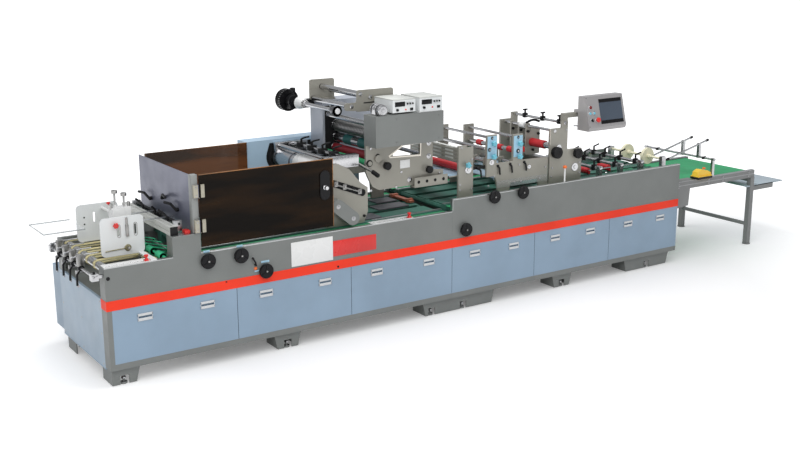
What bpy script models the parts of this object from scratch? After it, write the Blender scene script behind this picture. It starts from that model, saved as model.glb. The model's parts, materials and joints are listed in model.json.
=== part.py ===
"""Window patching machine: feeder, guarded gluing section, patching tower, delivery bed and belt.

Units are metres. +X runs from the feeder to the delivery, +Y from the operator's side to the drive
side, +Z up from the floor. Every part hangs from one empty, which puts the middle of the machine's
footprint on the floor at the world's origin. Outlines are (along, up) points from a corner of their
own unit, so a unit moves with the door pitch, the depth or the height of the plates that carry it.
"""
import math

import bmesh
import bpy
from mathutils import Euler, Matrix, Vector

# Clearance between two parts that touch, the depth to which welded shapes enter each other, and the
# decimals of a metre that flush faces share
GAP = 0.0003
WELD = 0.002
FLUSH_DECIMALS = 6

# Cabinet
INFEED_DOOR_PITCH = 0.960
DELIVERY_DOOR_PITCH = 0.877
DOORS_PER_MODULE = 3
BODY_DEPTH = 1.000
SIDE_PLATE = 0.030
DOOR_THICKNESS = 0.018
DOOR_SEAM = 0.004
RAIL_BOTTOM = 0.121
RAIL_HEIGHT = 0.044
DOOR_HEIGHT = 0.385
STRIPE_HEIGHT = 0.070
STRIPE_THICKNESS = 0.002
INFEED_PLATE_HEIGHT = 0.303
DELIVERY_PLATE_HEIGHT = 0.400
CORNER_POST_WIDTH = 0.035
CORNER_POST_DEPTH = 0.102
END_PANEL_THICKNESS = 0.015
END_PANEL_TOP_DROP = 0.004
END_PANEL_OVERHANG = 0.014
DRIVE_COVER_DEPTH = 0.170
DRIVE_COVER_TOP_DROP = 0.003
DRIVE_COVER_FOOT = 0.019
HANDLE_LENGTH = 0.108
HANDLE_HEIGHT = 0.050
HANDLE_RIM = 0.006
HANDLE_PROUD = 0.003
HANDLE_POCKET = 0.010
HANDLE_DROP = 0.080
HANDLE_INSET = 0.230

# Stands under the rail, with their levelling screws in a notch of the face
STAND_SHEET = 0.008
STAND_INSET = 0.030
STAND_LIFT = 0.004
STAND_DEPTH = 0.180
STAND_SLOPE = 0.030
NOTCH_WIDTH = 0.064
NOTCH_HEIGHT = 0.062
SCREW_SETBACK = 0.020
SCREW_RADIUS = 0.008
PAD_RADIUS = 0.024
PAD_HEIGHT = 0.014
INFEED_END_STAND = 0.175
INFEED_END_SCREW = 0.105
MIDDLE_STAND = 0.170
INFEED_MIDDLE_SHIFT = -0.065
SEAM_STAND_BEFORE = 0.240
SEAM_SCREW_BEFORE = 0.180
SEAM_STAND_AFTER = 0.440
SEAM_SCREW_AFTER = 0.140
DELIVERY_MIDDLE_SHIFT = -0.0855
END_STAND = 0.520
END_STAND_OVERHANG = 0.091
END_STAND_SCREW = 0.260

# Handwheels
HANDWHEEL_RADIUS = 0.052
HANDWHEEL_WIDTH = 0.020
HANDWHEEL_STANDOFF = 0.016
HANDWHEEL_DISH = 0.007
HUB_RADIUS = 0.014
INFEED_WHEEL_DROP = 0.062
INFEED_WHEEL_PLACES = (0.039, 0.294)
LOW_WHEEL_PLACE = 0.487
LOW_WHEEL_LIFT = 0.025
DELIVERY_WHEEL_DROP = 0.025
DELIVERY_WHEEL_PLACES = (0.413, 0.717)
SEAM_WHEEL_PLACE = 0.123
SEAM_WHEEL_LIFT = 0.070

# Feeder
FEED_ROLLER_RADIUS = 0.030
FEED_ROLLER_DROP = 0.042
FEED_ROLLER_FRONT = 0.052
FEED_ROLLER_BACK = 0.400
BELT_THICKNESS = 0.004
FEED_BELT_WIDTH = 0.026
FEED_BELT_COUNT = 6
CARTON_WIDTH = 0.488
FEED_PLATE_THICKNESS = 0.012
FEED_PLATE_START = 0.075
FEED_PLATE_LENGTH = 0.310
FEED_PLATE_HEIGHT = 0.272
FEED_PLATE_LIFT = 0.003
FEED_PLATE_CORNER = 0.030
FEED_SLOT_RADIUS = 0.008
FEED_SLOT_LENGTH = 0.060
FEED_SLOT_PLACES = (0.130, 0.250)
FEED_SLOT_RISE = 0.144
FEED_STRIP_PLACE = 0.260
FEED_STRIP_WIDTH = 0.040
FEED_STRIP_THICKNESS = 0.008
FEED_STRIP_INSET = 0.004
GATE_PLACE = 0.190
GATE_RISE = 0.234
GATE_ROD = 0.011
GATE_BLOCK_LENGTH = 0.130
GATE_BLOCK_WIDTH = 0.090
GATE_BLOCK_HEIGHT = 0.095
GATE_SCREW_RADIUS = 0.007
GATE_KNOB_RADIUS = 0.020
GATE_SCREWS = ((0.250, 0.120), (0.750, 0.095))
FEED_SHAFT_X = 0.462
FEED_SHAFT_DROP = 0.015
FEED_SHAFT_RADIUS = 0.010
FEED_SLEEVE_RADIUS = 0.026
FEED_SLEEVE_LENGTH = 0.090
FEED_SLEEVE_COUNT = 5
FEED_SLEEVE_INSET = 0.110
PEDESTAL_START = 0.490
PEDESTAL_LENGTH = 0.210
PEDESTAL_DEPTH = 0.100
PEDESTAL_HEIGHT = 0.142
CROSSBEAM_WIDTH = 0.055
CROSSBEAM_HEIGHT = 0.062
CROSSBEAM_INSET = 0.004
CROSSBEAM_END = 0.040
CROSSBEAM_GROOVE = 0.010
BACKSTOP_REACH = 0.057
BACKSTOP_DROP = 0.058
BACKSTOP_ROD = 0.010
BACKSTOP_BLOCK = 0.048
FORK_COUNT = 4
FORK_PITCH = 0.150
FORK_START = 0.305
FORK_THICKNESS = 0.012
FORK_OUTLINE = ((-0.016, -0.030), (0.016, -0.030), (0.024, 0.000), (0.024, 0.100), (0.008, 0.100),
                (0.004, 0.022), (-0.016, 0.014))
LEVER_OUTLINE = ((0.000, -0.028), (0.000, -0.012), (-0.038, -0.012), (-0.034, -0.132), (-0.024, -0.132),
                 (-0.026, -0.028))
FORK_ROD = 0.005
FORK_ROD_RISE = 0.090
CLEAR_TABLE_REACH = 0.220
CLEAR_TABLE_NEAR = 0.560
CLEAR_TABLE_INSET = 0.090
CLEAR_TABLE_RISE = 0.136
CLEAR_TABLE_THICKNESS = 0.008

# Guard
GUARD_HEIGHT = 0.412
GUARD_SHEET = 0.006
GUARD_END_SHEET = 0.004
GUARD_POST_WIDTH = 0.046
GUARD_POST_DEPTH = 0.048
GUARD_POST_INSET = 0.0125
GUARD_DOOR_LIFT = 0.040
GUARD_DOOR_CLEARANCE = 0.005
GUARD_BACK_INSET = 0.022
HINGE_PIN_RADIUS = 0.006
HINGE_OFFSET = 0.0025
HINGE_PROUD = 0.0065
HINGE_LEAF = 0.034
HINGE_HEIGHT = 0.092
HINGE_LIFTS = (0.050, 0.298)
HINGE_CLEARANCE = 0.0005
LATCH_INSET = 0.075
LATCH_DROP = 0.192
LATCH_HALF = 0.070
LATCH_RADIUS = 0.040
LATCH_PROUD = 0.008
LATCH_KNOB = 0.013

# Patching section, measured back from the seam of the two modules
PATCH_TO_SEAM = 1.100
GEAR_COVER_LEAD = 0.224
GEAR_COVER_LENGTH = 1.064
GEAR_COVER_DEPTH = 0.150
GEAR_COVER_RISE = 0.559
CYLINDER_PLACE = 0.075
CYLINDER_RISE = 0.416
CYLINDER_RADIUS = 0.075
CYLINDER_STANDOFF = 0.020
CYLINDER_JOURNAL = 0.020
CYLINDER_MOUTH = 0.012
MOUTH_DEPTH = 0.060
MOUTH_PLACE = 0.170
MOUTH_LENGTH = 0.080
MOUTH_HEIGHT = 0.072
MOUTH_LIFT = 0.074
UNIT_PLATE = 0.020
UNIT_NEAR = 0.125
UNIT_FAR_INSET = 0.200
GLUE_OUTLINE = ((0.000, 0.000), (0.340, 0.000), (0.375, 0.084), (0.375, 0.274), (0.310, 0.319),
                (0.215, 0.430), (0.115, 0.484), (0.000, 0.484))
BELT_COVER_LOW = (0.184, 0.072)
BELT_COVER_HIGH = (0.052, 0.180)
BELT_COVER_RADIUS = 0.052
BELT_COVER_WIDTH = 0.062
BELT_SHAFT_RADIUS = 0.020

# Tower
TOWER_PLACE = 0.375
TOWER_LENGTH = 0.630
TOWER_COVER_RISE = 0.594
TOWER_COVER_HEIGHT = 0.240
TOWER_COVER_DEPTH = 0.170
TOWER_FAR_COVER_RISE = 0.424
TOWER_FAR_COVER_HEIGHT = 0.445
TOWER_NEAR_OUTLINE = ((0.017, 0.344), (0.059, 0.265), (0.115, 0.234), (0.445, 0.234), (0.477, 0.214),
                      (0.735, 0.214), (0.735, 0.329), (0.630, 0.339))
TOWER_NEAR_SHOULDER = 0.384
TOWER_WINDOW = ((0.218, 0.487), (0.506, 0.475), (0.506, 0.563), (0.344, 0.560))
TOWER_WINDOW_CORNER = 0.012
TOWER_FAR_LEGS = ((0.045, 0.000), (0.165, 0.000), (0.175, 0.234), (0.445, 0.234), (0.465, 0.000),
                  (0.585, 0.000), (0.630, 0.339))
TOWER_FAR_SHOULDER = 0.304
TOWER_TIES = ((0.590, 0.454), (0.405, 0.284), (0.590, 0.559))
TOWER_TIE_RADIUS = 0.016
KNOB_NECK_SHARE = 0.350
KNOB_BEVEL_SHARE = 0.250
TOWER_KNOBS = ((0.173, 0.424, 0.026, 0.045), (0.578, 0.350, 0.024, 0.040))
BEARING_STEP = 0.004
BEARING_PROUD = 0.014
GREEN_ROLLER = (0.030, 0.454, 0.022)
RED_ROLLER = (0.107, 0.484, 0.034)
LOWER_NIP_ROLLER = (0.130, 0.566, 0.040)
UPPER_NIP_ROLLER = (0.130, 0.662, 0.048)
IDLER_ROLLER = (0.050, 0.754, 0.022)
ROLLER_SHOULDER = 0.012
JOURNAL_SHARE = 0.45
GUIDE_NEAR = 0.290
GUIDE_FAR_INSET = 0.115
GUIDE_SHEET = 0.012
GUIDE_OUTLINE = ((-0.095, 0.020), (0.015, 0.010), (0.015, 0.003), (0.350, 0.003), (0.350, 0.170),
                 (0.015, 0.170), (0.015, 0.075), (-0.095, 0.075))
GUIDE_CORNER = 0.016
GUIDE_FOOT = (0.175, 0.275)
GUIDE_FOOT_NEAR = 0.110
GUIDE_FOOT_HEIGHT = 0.014
GUIDE_FAR_PLATE = (-0.065, 0.165)
GUIDE_FAR_FOOT = (0.005, 0.145)
GUIDE_FAR_HEIGHT = 0.165
GUIDE_ROLLERS = ((0.045, 0.140), (0.135, 0.110), (-0.035, 0.048))
GUIDE_ROLLER_RADIUS = 0.020
REEL_PLACE = 0.180
REEL_LIFT = 0.028
REEL_SHAFT_RADIUS = 0.016
REEL_NEAR_END = 0.255
REEL_NEAR_CONE = (0.007, 0.075, 0.042, 0.030)
REEL_FAR_CONE = (-0.165, -0.085, 0.034, 0.050)
REEL_BEARING_START = -0.065
REEL_BEARING_END = -0.005
REEL_BEARING_RADIUS = 0.050
REEL_BEARING_HEIGHT = 0.060
REEL_ARM = 0.040
BRAKE_HUB_RADIUS = 0.030
BRAKE_DISC_RADIUS = 0.088
BRAKE_DISC_WIDTH = 0.015
BRAKE_DISC_COUNT = 3
BRAKE_DISC_START = 0.030
BRAKE_DISC_PITCH = 0.030
BRAKE_HUB_END = 0.130
POWER_BOX_DEPTH = 0.256
POWER_BOX_NEAR = 0.006
POWER_BOX_HEIGHT = 0.102
POWER_BOX_LEFT = (0.157, 0.365)
POWER_BOX_RIGHT = (0.405, 0.620)
DISPLAY_SINK = 0.004
CLUTCH_PLACE = 0.075
CLUTCH_RADIUS = 0.042
CLUTCH_GROOVE = 0.010
CLUTCH_STEPS = (0.015, 0.045, 0.060, 0.110, 0.150)

# Belt beds between the side plates
BED_DROP_INFEED = 0.007
BED_DROP_DELIVERY = 0.065
BED_BEAM_NEAR = 0.120
BED_BEAM_WIDTH = 0.050
BED_BEAM_HEIGHT = 0.100
BED_ROLLER_RADIUS = 0.024
BED_ROLLER_SINK = 0.012
BED_ROLLER_INSET = 0.040
BED_CLEARANCE = 0.010
BED_START_CLEARANCE = 0.020
BED_BELT_COUNT = 3
BED_BELT_WIDTH = 0.150
BED_BELT_THICKNESS = 0.008
BED_BELT_SINK = 0.008
BED_BELT_INSET = 0.030
BED_EDGE_BELT = (0.045, 0.112)

# Creasing unit
CREASE_PLACE = 0.150
CREASE_OUTLINE = ((0.000, 0.000), (0.150, 0.000), (0.150, 0.445), (0.080, 0.445), (0.080, 0.465),
                  (0.000, 0.465))
CREASE_BEAM = (0.004, 0.036)
CREASE_BEAM_RISE = 0.330
CREASE_BEAM_HEIGHT = 0.118
CREASE_RIB_COUNT = 4
CREASE_RIB_DEPTH = 0.006
CREASE_ROLLER = (0.100, 0.262, 0.030)
CREASE_TRAY = (-0.080, 0.120)
CREASE_TRAY_RISE = 0.215
CREASE_TRAY_SHEET = 0.008

# Folding unit
FOLD_PLACE = 0.440
FOLD_OUTLINE = ((0.110, 0.115), (0.135, 0.000), (0.240, 0.000), (0.260, 0.100), (0.560, 0.100),
                (0.580, 0.000), (0.670, 0.000), (0.670, 0.275), (0.385, 0.280), (0.385, 0.505),
                (0.280, 0.505), (0.280, 0.282), (0.105, 0.280), (0.105, 0.525), (0.000, 0.525),
                (0.000, 0.175), (0.090, 0.175))
FOLD_RODS = ((0.050, 0.500, 0.010), (0.025, 0.405, 0.014), (0.330, 0.480, 0.010), (0.330, 0.365, 0.016),
             (0.052, 0.295, 0.020), (0.460, 0.215, 0.014))

# Delivery frame and its rear carriage
FRAME_PLACE = 1.130
FRAME_OUTLINE = ((0.000, 0.000), (0.370, 0.000), (0.370, 0.315), (0.200, 0.320), (0.200, 0.571),
                 (0.130, 0.571), (0.130, 0.515), (0.000, 0.515))
FRAME_LENGTH = 0.370
FRAME_RODS = ((0.165, 0.555, 0.010), (0.294, 0.154, 0.034))
CARRIAGE_ROD = (0.050, 0.495, 0.010)
CARRIAGE_TUBE = (0.100, 0.345, 0.026)
FRAME_KNOBS = ((0.059, 0.309, 0.046, 0.045), (0.310, 0.277, 0.040, 0.035))
CARRIAGE_OUTLINE = ((0.030, 0.235), (0.190, 0.235), (0.190, 0.475), (0.075, 0.475), (0.075, 0.518),
                    (0.030, 0.518))
CARRIAGE_PLATES = (-0.320, -0.220, -0.110)
CARRIAGE_SHEET = 0.012
CARRIAGE_STRAP = (0.077, 0.097)
CARRIAGE_STRAP_HEIGHT = 0.027
CARRIAGE_SLIP = 0.0005
POST_PLACE = (0.155, 0.195)
POST_WIDTH = 0.050
POST_RISE = 0.555
ARM_RISE = 0.595
ARM_HEIGHT = 0.040
ARM_INSET = 0.004

# Control box
CONTROL_PLACE = 0.290
CONTROL_WIDTH = 0.440
CONTROL_DROP = 0.150
CONTROL_HEIGHT = 0.295
CONTROL_DEPTH_BOTTOM = 0.150
CONTROL_DEPTH_TOP = 0.080
CONTROL_CHAMFER = 0.030
CONTROL_BACK = 0.020
CONTROL_PIVOT = 0.022
CONTROL_LUG = 0.036
CONTROL_LUG_HEIGHT = 0.025
SCREEN_WIDTH = 0.235
SCREEN_RISE = 0.060
SCREEN_HEIGHT = 0.200
SCREEN_SINK = 0.006
SCREEN_INSET = 0.030

# Press bars and wheels
PRESS_START = 0.240
PRESS_END = 0.371
PRESS_BAR_COUNT = 3
PRESS_BAR_RADIUS = 0.016
PRESS_RISE = 0.100
PRESS_BLOCK = 0.040
PRESS_BLOCK_INSET = 0.004
PRESS_BLOCK_TOP = 0.020
PRESS_RAIL_HEIGHT = 0.030
PRESS_RAIL_WIDTH = 0.020
WHEEL_BEFORE_END = 0.081
WHEEL_RADIUS = 0.078
WHEEL_WIDTH = 0.030
WHEEL_HUB_RADIUS = 0.022
WHEEL_PLACES = (-0.155, 0.105)
WHEEL_SHAFT_RADIUS = 0.012
WHEEL_POST = 0.050

# Delivery belt, its stand, tray, stop bar and foot switch
BELT_RAIL_TOP = 0.760
BELT_RAIL_HEIGHT = 0.075
BELT_RAIL_WIDTH = 0.040
BELT_LENGTH = 1.139
BELT_INSET = 0.050
BELT_LEG = 0.050
BELT_LEG_SPREAD = 0.005
BELT_DRUM_RADIUS = 0.022
BELT_DRUM_DROP = 0.036
BELT_DRUM_INSET = 0.050
BELT_SIDE_CLEARANCE = 0.004
BRACKET_OUTLINE = ((0.000, -0.255), (0.200, -0.240), (0.215, -0.060), (0.215, 0.022), (0.000, 0.022))
FOOT_RADIUS = 0.040
FOOT_HEIGHT = 0.014
LOW_BAR_RISE = 0.190
HIGH_BAR_RISE = 0.640
STAND_BAR = 0.030
TRAY_START_REACH = 0.700
TRAY_REACH = 0.450
TRAY_RISE = 0.600
TRAY_SHEET = 0.004
TRAY_RAIL_HEIGHT = 0.052
TRAY_RAIL_SHORT = 0.150
TRAY_SLIP = 0.002
STOP_PLACE = 0.534
STOP_RISE = 0.165
STOP_RADIUS = 0.011
STOP_POST = 0.030
STOP_POST_WIDTH = 0.024
STOP_ROD_RADIUS = 0.009
STOP_ROD_BACK = 0.430
STOP_ROD_FRONT = 0.110
STOP_ROD_SLOPE = 0.240
STOP_ROD_LIFT = 0.125
STOP_ROD_PLACES = (0.200, 0.400)
SWITCH_PLACE = 0.289
SWITCH_LENGTH = 0.190
SWITCH_BASE = 0.030
SWITCH_OUTLINE = ((0.000, 0.028), (0.190, 0.028), (0.190, 0.050), (0.140, 0.075), (0.060, 0.090),
                  (0.010, 0.070))

# Values that follow from the ones above
RAIL_TOP = RAIL_BOTTOM + RAIL_HEIGHT
DOOR_TOP = RAIL_TOP + DOOR_HEIGHT
STRIPE_TOP = DOOR_TOP + STRIPE_HEIGHT
END_PANEL_TOP = STRIPE_TOP - END_PANEL_TOP_DROP
DRIVE_COVER_TOP = STRIPE_TOP - DRIVE_COVER_TOP_DROP
INFEED_PLATE_TOP = DOOR_TOP + INFEED_PLATE_HEIGHT
DELIVERY_PLATE_TOP = DOOR_TOP + DELIVERY_PLATE_HEIGHT
INFEED_END = INFEED_DOOR_PITCH * DOORS_PER_MODULE
BODY_END = INFEED_END + DELIVERY_DOOR_PITCH * DOORS_PER_MODULE
INNER_NEAR = SIDE_PLATE
INNER_FAR = BODY_DEPTH - SIDE_PLATE
PEDESTAL_END = PEDESTAL_START + PEDESTAL_LENGTH
PEDESTAL_TOP = INFEED_PLATE_TOP + PEDESTAL_HEIGHT
GUARD_TOP = PEDESTAL_TOP + GUARD_HEIGHT
PATCH_START = INFEED_END - PATCH_TO_SEAM
TOWER_START = PATCH_START + TOWER_PLACE
TOWER_END = TOWER_START + TOWER_LENGTH
UNIT_FAR = BODY_DEPTH - UNIT_FAR_INSET
BED_BEAM_FAR = UNIT_FAR
INFEED_BED = INFEED_PLATE_TOP - BED_DROP_INFEED
DELIVERY_BED = DELIVERY_PLATE_TOP - BED_DROP_DELIVERY
TOWER_COVER_BOTTOM = INFEED_BED + TOWER_COVER_RISE
TOWER_COVER_TOP = TOWER_COVER_BOTTOM + TOWER_COVER_HEIGHT
TOWER_FAR_COVER_BOTTOM = INFEED_BED + TOWER_FAR_COVER_RISE
TOWER_FAR_COVER_TOP = TOWER_FAR_COVER_BOTTOM + TOWER_FAR_COVER_HEIGHT
CREASE_START = INFEED_END + CREASE_PLACE
FOLD_START = INFEED_END + FOLD_PLACE
FRAME_START = INFEED_END + FRAME_PLACE
NEAR_PLATE = (UNIT_NEAR, UNIT_NEAR + UNIT_PLATE)
FAR_PLATE = (UNIT_FAR, UNIT_FAR + UNIT_PLATE)
ARM_TOP = DELIVERY_BED + ARM_RISE + ARM_HEIGHT
ROUND = 14
SMOOTH_ANGLE = 35
SEAM_ANGLE = 0.1
DOUBLES_DISTANCE = 0.00001
AXIS_TURNS = {"X": (0.0, math.pi / 2, 0.0), "Y": (-math.pi / 2, 0.0, 0.0), "Z": (0.0, 0.0, 0.0)}
PLANE_TURNS = {"XZ": (math.pi / 2, 0.0, 0.0), "XY": (0.0, 0.0, 0.0), "YZ": (math.pi / 2, 0.0, math.pi / 2)}

COLOURS = {
    "body_grey": ((0.22, 0.23, 0.22), 0.45, 0.0),
    "door_blue": ((0.26, 0.36, 0.47), 0.40, 0.0),
    "stripe_red": ((0.95, 0.06, 0.02), 0.40, 0.0),
    "stand_grey": ((0.10, 0.10, 0.10), 0.55, 0.0),
    "plate_warm": ((0.42, 0.39, 0.34), 0.40, 0.3),
    "plate_white": ((0.80, 0.82, 0.82), 0.35, 0.0),
    "chrome": ((0.75, 0.75, 0.76), 0.18, 1.0),
    "aluminium": ((0.70, 0.71, 0.72), 0.35, 1.0),
    "belt_green": ((0.01, 0.27, 0.11), 0.60, 0.0),
    "belt_cream": ((0.78, 0.70, 0.45), 0.60, 0.0),
    "black": ((0.02, 0.02, 0.02), 0.45, 0.0),
    "smoked": ((0.03, 0.02, 0.02), 0.08, 0.0),
    "guard_steel": ((0.20, 0.20, 0.26), 0.35, 0.5),
    "cover_blue": ((0.33, 0.43, 0.55), 0.40, 0.0),
    "red_rubber": ((0.60, 0.03, 0.04), 0.50, 0.0),
    "clear": ((0.85, 0.90, 0.92), 0.05, 0.0),
    "yellow": ((0.85, 0.62, 0.05), 0.45, 0.0),
    "cream": ((0.85, 0.80, 0.62), 0.50, 0.0),
}


def clear_objects():
    """Empties the file, so that the script builds the same machine each time."""
    for old in list(bpy.data.objects):
        bpy.data.objects.remove(old)


def finish(name):
    """The named paint or metal, made once."""
    material = bpy.data.materials.get(name)
    if material:
        return material
    colour, roughness, metallic = COLOURS[name]
    material = bpy.data.materials.new(name)
    material.use_nodes = True
    shader = material.node_tree.nodes["Principled BSDF"]
    shader.inputs["Base Color"].default_value = (*colour, 1.0)
    shader.inputs["Roughness"].default_value = roughness
    shader.inputs["Metallic"].default_value = metallic
    return material


def shape_object(mesh, centre, turn=(0.0, 0.0, 0.0)):
    """A loose shape, still to be joined into a part, with flush faces made exactly flush."""
    mesh.transform(Matrix.LocRotScale(Vector(centre), Euler(turn), None))
    for vertex in mesh.vertices:
        vertex.co = [round(value, FLUSH_DECIMALS) for value in vertex.co]
    shape = bpy.data.objects.new("shape", mesh)
    workbench.objects.link(shape)
    return shape


def box(xs, ys, zs):
    """A block between the two values given on each axis."""
    size = [high - low for low, high in (xs, ys, zs)]
    centre = [(high + low) / 2 for low, high in (xs, ys, zs)]
    block = bmesh.new()
    bmesh.ops.create_cube(block, size=1.0)
    bmesh.ops.scale(block, vec=size, verts=block.verts)
    mesh = bpy.data.meshes.new("block")
    block.to_mesh(mesh)
    block.free()
    return shape_object(mesh, centre)


def bar(axis, centre, span, radius, end_radius=None, sides=ROUND):
    """A round bar, or a cone, along an axis: centre gives the two other coordinates in X, Y, Z order."""
    low, high = span
    middle = list(centre)
    middle.insert("XYZ".index(axis), (low + high) / 2)
    tube = bmesh.new()
    far_radius = radius if end_radius is None else end_radius
    bmesh.ops.create_cone(tube, cap_ends=True, segments=sides, radius1=radius, radius2=far_radius,
                          depth=high - low)
    mesh = bpy.data.meshes.new("bar")
    tube.to_mesh(mesh)
    tube.free()
    return shape_object(mesh, middle, AXIS_TURNS[axis])


def turned(axis, centre, profile, sides=ROUND):
    """A turned shape from one round about an axis: profile holds (along the axis, radius) points."""
    lathe = bmesh.new()
    points = [(0.0, profile[0][0]), *[(radius, along) for along, radius in profile], (0.0, profile[-1][0])]
    ring = [lathe.verts.new((radius, 0.0, along)) for radius, along in points]
    edges = [lathe.edges.new(pair) for pair in zip(ring, ring[1:])]
    bmesh.ops.spin(lathe, geom=[*ring, *edges], cent=(0.0, 0.0, 0.0), axis=(0.0, 0.0, 1.0),
                   angle=math.tau, steps=sides, use_merge=True)
    bmesh.ops.remove_doubles(lathe, verts=lathe.verts, dist=DOUBLES_DISTANCE)
    bmesh.ops.recalc_face_normals(lathe, faces=lathe.faces)
    mesh = bpy.data.meshes.new("turned")
    lathe.to_mesh(mesh)
    lathe.free()
    middle = list(centre)
    middle.insert("XYZ".index(axis), 0.0)
    return shape_object(mesh, middle, AXIS_TURNS[axis])


def rod(start, end, radius, sides=ROUND):
    """A straight round rod between two points in any direction."""
    first, last = Vector(start), Vector(end)
    tube = bmesh.new()
    bmesh.ops.create_cone(tube, cap_ends=True, segments=sides, radius1=radius, radius2=radius,
                          depth=(last - first).length)
    mesh = bpy.data.meshes.new("rod")
    tube.to_mesh(mesh)
    tube.free()
    return shape_object(mesh, (first + last) / 2, (last - first).to_track_quat("Z", "Y").to_euler())


def solid_copy(source):
    """The evaluated shape as a plain mesh in world space, with its loose caps welded."""
    bpy.context.view_layer.update()
    evaluated = source.evaluated_get(bpy.context.evaluated_depsgraph_get())
    mesh = bpy.data.meshes.new_from_object(evaluated)
    mesh.transform(source.matrix_world)
    welded = bmesh.new()
    welded.from_mesh(mesh)
    bmesh.ops.remove_doubles(welded, verts=welded.verts, dist=DOUBLES_DISTANCE)
    bmesh.ops.recalc_face_normals(welded, faces=welded.faces)
    welded.to_mesh(mesh)
    welded.free()
    return mesh


def clear_seams(mesh):
    """Takes out the edges that a join leaves across flat faces, then cuts the faces into sound triangles."""
    surface = bmesh.new()
    surface.from_mesh(mesh)
    bmesh.ops.dissolve_limit(surface, angle_limit=math.radians(SEAM_ANGLE), verts=surface.verts,
                             edges=surface.edges)
    bmesh.ops.triangulate(surface, faces=surface.faces, quad_method="BEAUTY", ngon_method="BEAUTY")
    surface.to_mesh(mesh)
    surface.free()


def outline_plate(outline, span, plane="XZ", holes=()):
    """A flat outline in a plane, with its thickness between the two values of span."""
    middle = (span[0] + span[1]) / 2
    places = {"XZ": (0.0, middle, 0.0), "XY": (0.0, 0.0, middle), "YZ": (middle, 0.0, 0.0)}
    curve = bpy.data.curves.new("outline", "CURVE")
    curve.dimensions = "2D"
    curve.fill_mode = "BOTH"
    curve.extrude = (span[1] - span[0]) / 2
    for ring in (outline, *holes):
        spline = curve.splines.new("POLY")
        spline.points.add(len(ring) - 1)
        for point, (across, up) in zip(spline.points, ring):
            point.co = (across, up, 0.0, 1.0)
        spline.use_cyclic_u = True
    drawn = bpy.data.objects.new("outline", curve)
    drawn.location = places[plane]
    drawn.rotation_euler = PLANE_TURNS[plane]
    workbench.objects.link(drawn)
    mesh = solid_copy(drawn)
    bpy.data.objects.remove(drawn)
    return shape_object(mesh, (0.0, 0.0, 0.0))


def placed(outline, along, up):
    """An outline moved to its unit's corner."""
    return [(along + point[0], up + point[1]) for point in outline]


def rounded(outline, radius, steps=3):
    """An outline with each corner rounded as far as its sides allow."""
    ring = []
    for index, corner in enumerate(outline):
        here = Vector(corner)
        before = Vector(outline[index - 1]) - here
        after = Vector(outline[(index + 1) % len(outline)]) - here
        angle = before.angle(after)
        reach = min(radius / math.tan(angle / 2), before.length / 2.1, after.length / 2.1)
        bend = reach * math.tan(angle / 2)
        middle = here + (before.normalized() + after.normalized()).normalized() * (bend / math.sin(angle / 2))
        first = here + before.normalized() * reach - middle
        last = here + after.normalized() * reach - middle
        for step in range(steps + 1):
            ring.append(tuple(middle + first.slerp(last, step / steps) * bend))
    return ring


def arc(centre, radius, start, end, steps=8):
    """Points on an arc, angles in degrees."""
    return [(centre[0] + radius * math.cos(math.radians(start + (end - start) * step / steps)),
             centre[1] + radius * math.sin(math.radians(start + (end - start) * step / steps)))
            for step in range(steps + 1)]


def ring_of(centre, radius, steps=ROUND):
    """A closed circle of points."""
    return arc(centre, radius, 0, 360, steps)[:-1]


def slot_of(first, second, radius, steps=8):
    """An outline with two round ends about two centres."""
    lean = math.degrees(math.atan2(second[1] - first[1], second[0] - first[0]))
    return (arc(second, radius, lean - 90, lean + 90, steps)
            + arc(first, radius, lean + 90, lean + 270, steps))


def part(name, material, shapes, cuts=(), origin=None):
    """Joins overlapping shapes into one closed body, takes the cutters out, and names the result."""
    base = shapes[0]
    groups = []
    for operation, others in (("UNION", shapes[1:]), ("DIFFERENCE", cuts)):
        if others:
            group = bpy.data.collections.new(operation)
            for other in others:
                group.objects.link(other)
            joint = base.modifiers.new("join", "BOOLEAN")
            joint.operation = operation
            joint.operand_type = "COLLECTION"
            joint.solver = "EXACT"
            joint.collection = group
            groups.append(group)
    mesh = solid_copy(base)
    clear_seams(mesh)
    low = Vector([min(vertex.co[axis] for vertex in mesh.vertices) for axis in range(3)])
    high = Vector([max(vertex.co[axis] for vertex in mesh.vertices) for axis in range(3)])
    place = Vector(origin) if origin else (low + high) / 2
    mesh.transform(Matrix.Translation(-place))
    mesh.name = name
    mesh.materials.clear()
    mesh.materials.append(finish(material))
    mesh.shade_smooth()
    mesh.set_sharp_from_angle(angle=math.radians(SMOOTH_ANGLE))
    made = bpy.data.objects.new(name, mesh)
    made.location = place
    made.parent = machine
    machine_parts.objects.link(made)
    for shape in (*shapes, *cuts):
        bpy.data.objects.remove(shape)
    for group in groups:
        bpy.data.collections.remove(group)
    return made


def handwheel(x, rise):
    """A dished wheel on a hub that is pressed on a shaft through the front plate."""
    inner = -HANDWHEEL_STANDOFF
    outer = inner - HANDWHEEL_WIDTH
    dish = outer + HANDWHEEL_DISH
    rim = HANDWHEEL_RADIUS
    profile = ((outer, HUB_RADIUS), (dish, HUB_RADIUS + HANDWHEEL_DISH), (outer, rim - HANDWHEEL_DISH),
               (dish, rim), (inner, rim), (inner, HUB_RADIUS), (WELD, HUB_RADIUS))
    return [turned("Y", (x, rise), profile)]


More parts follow.
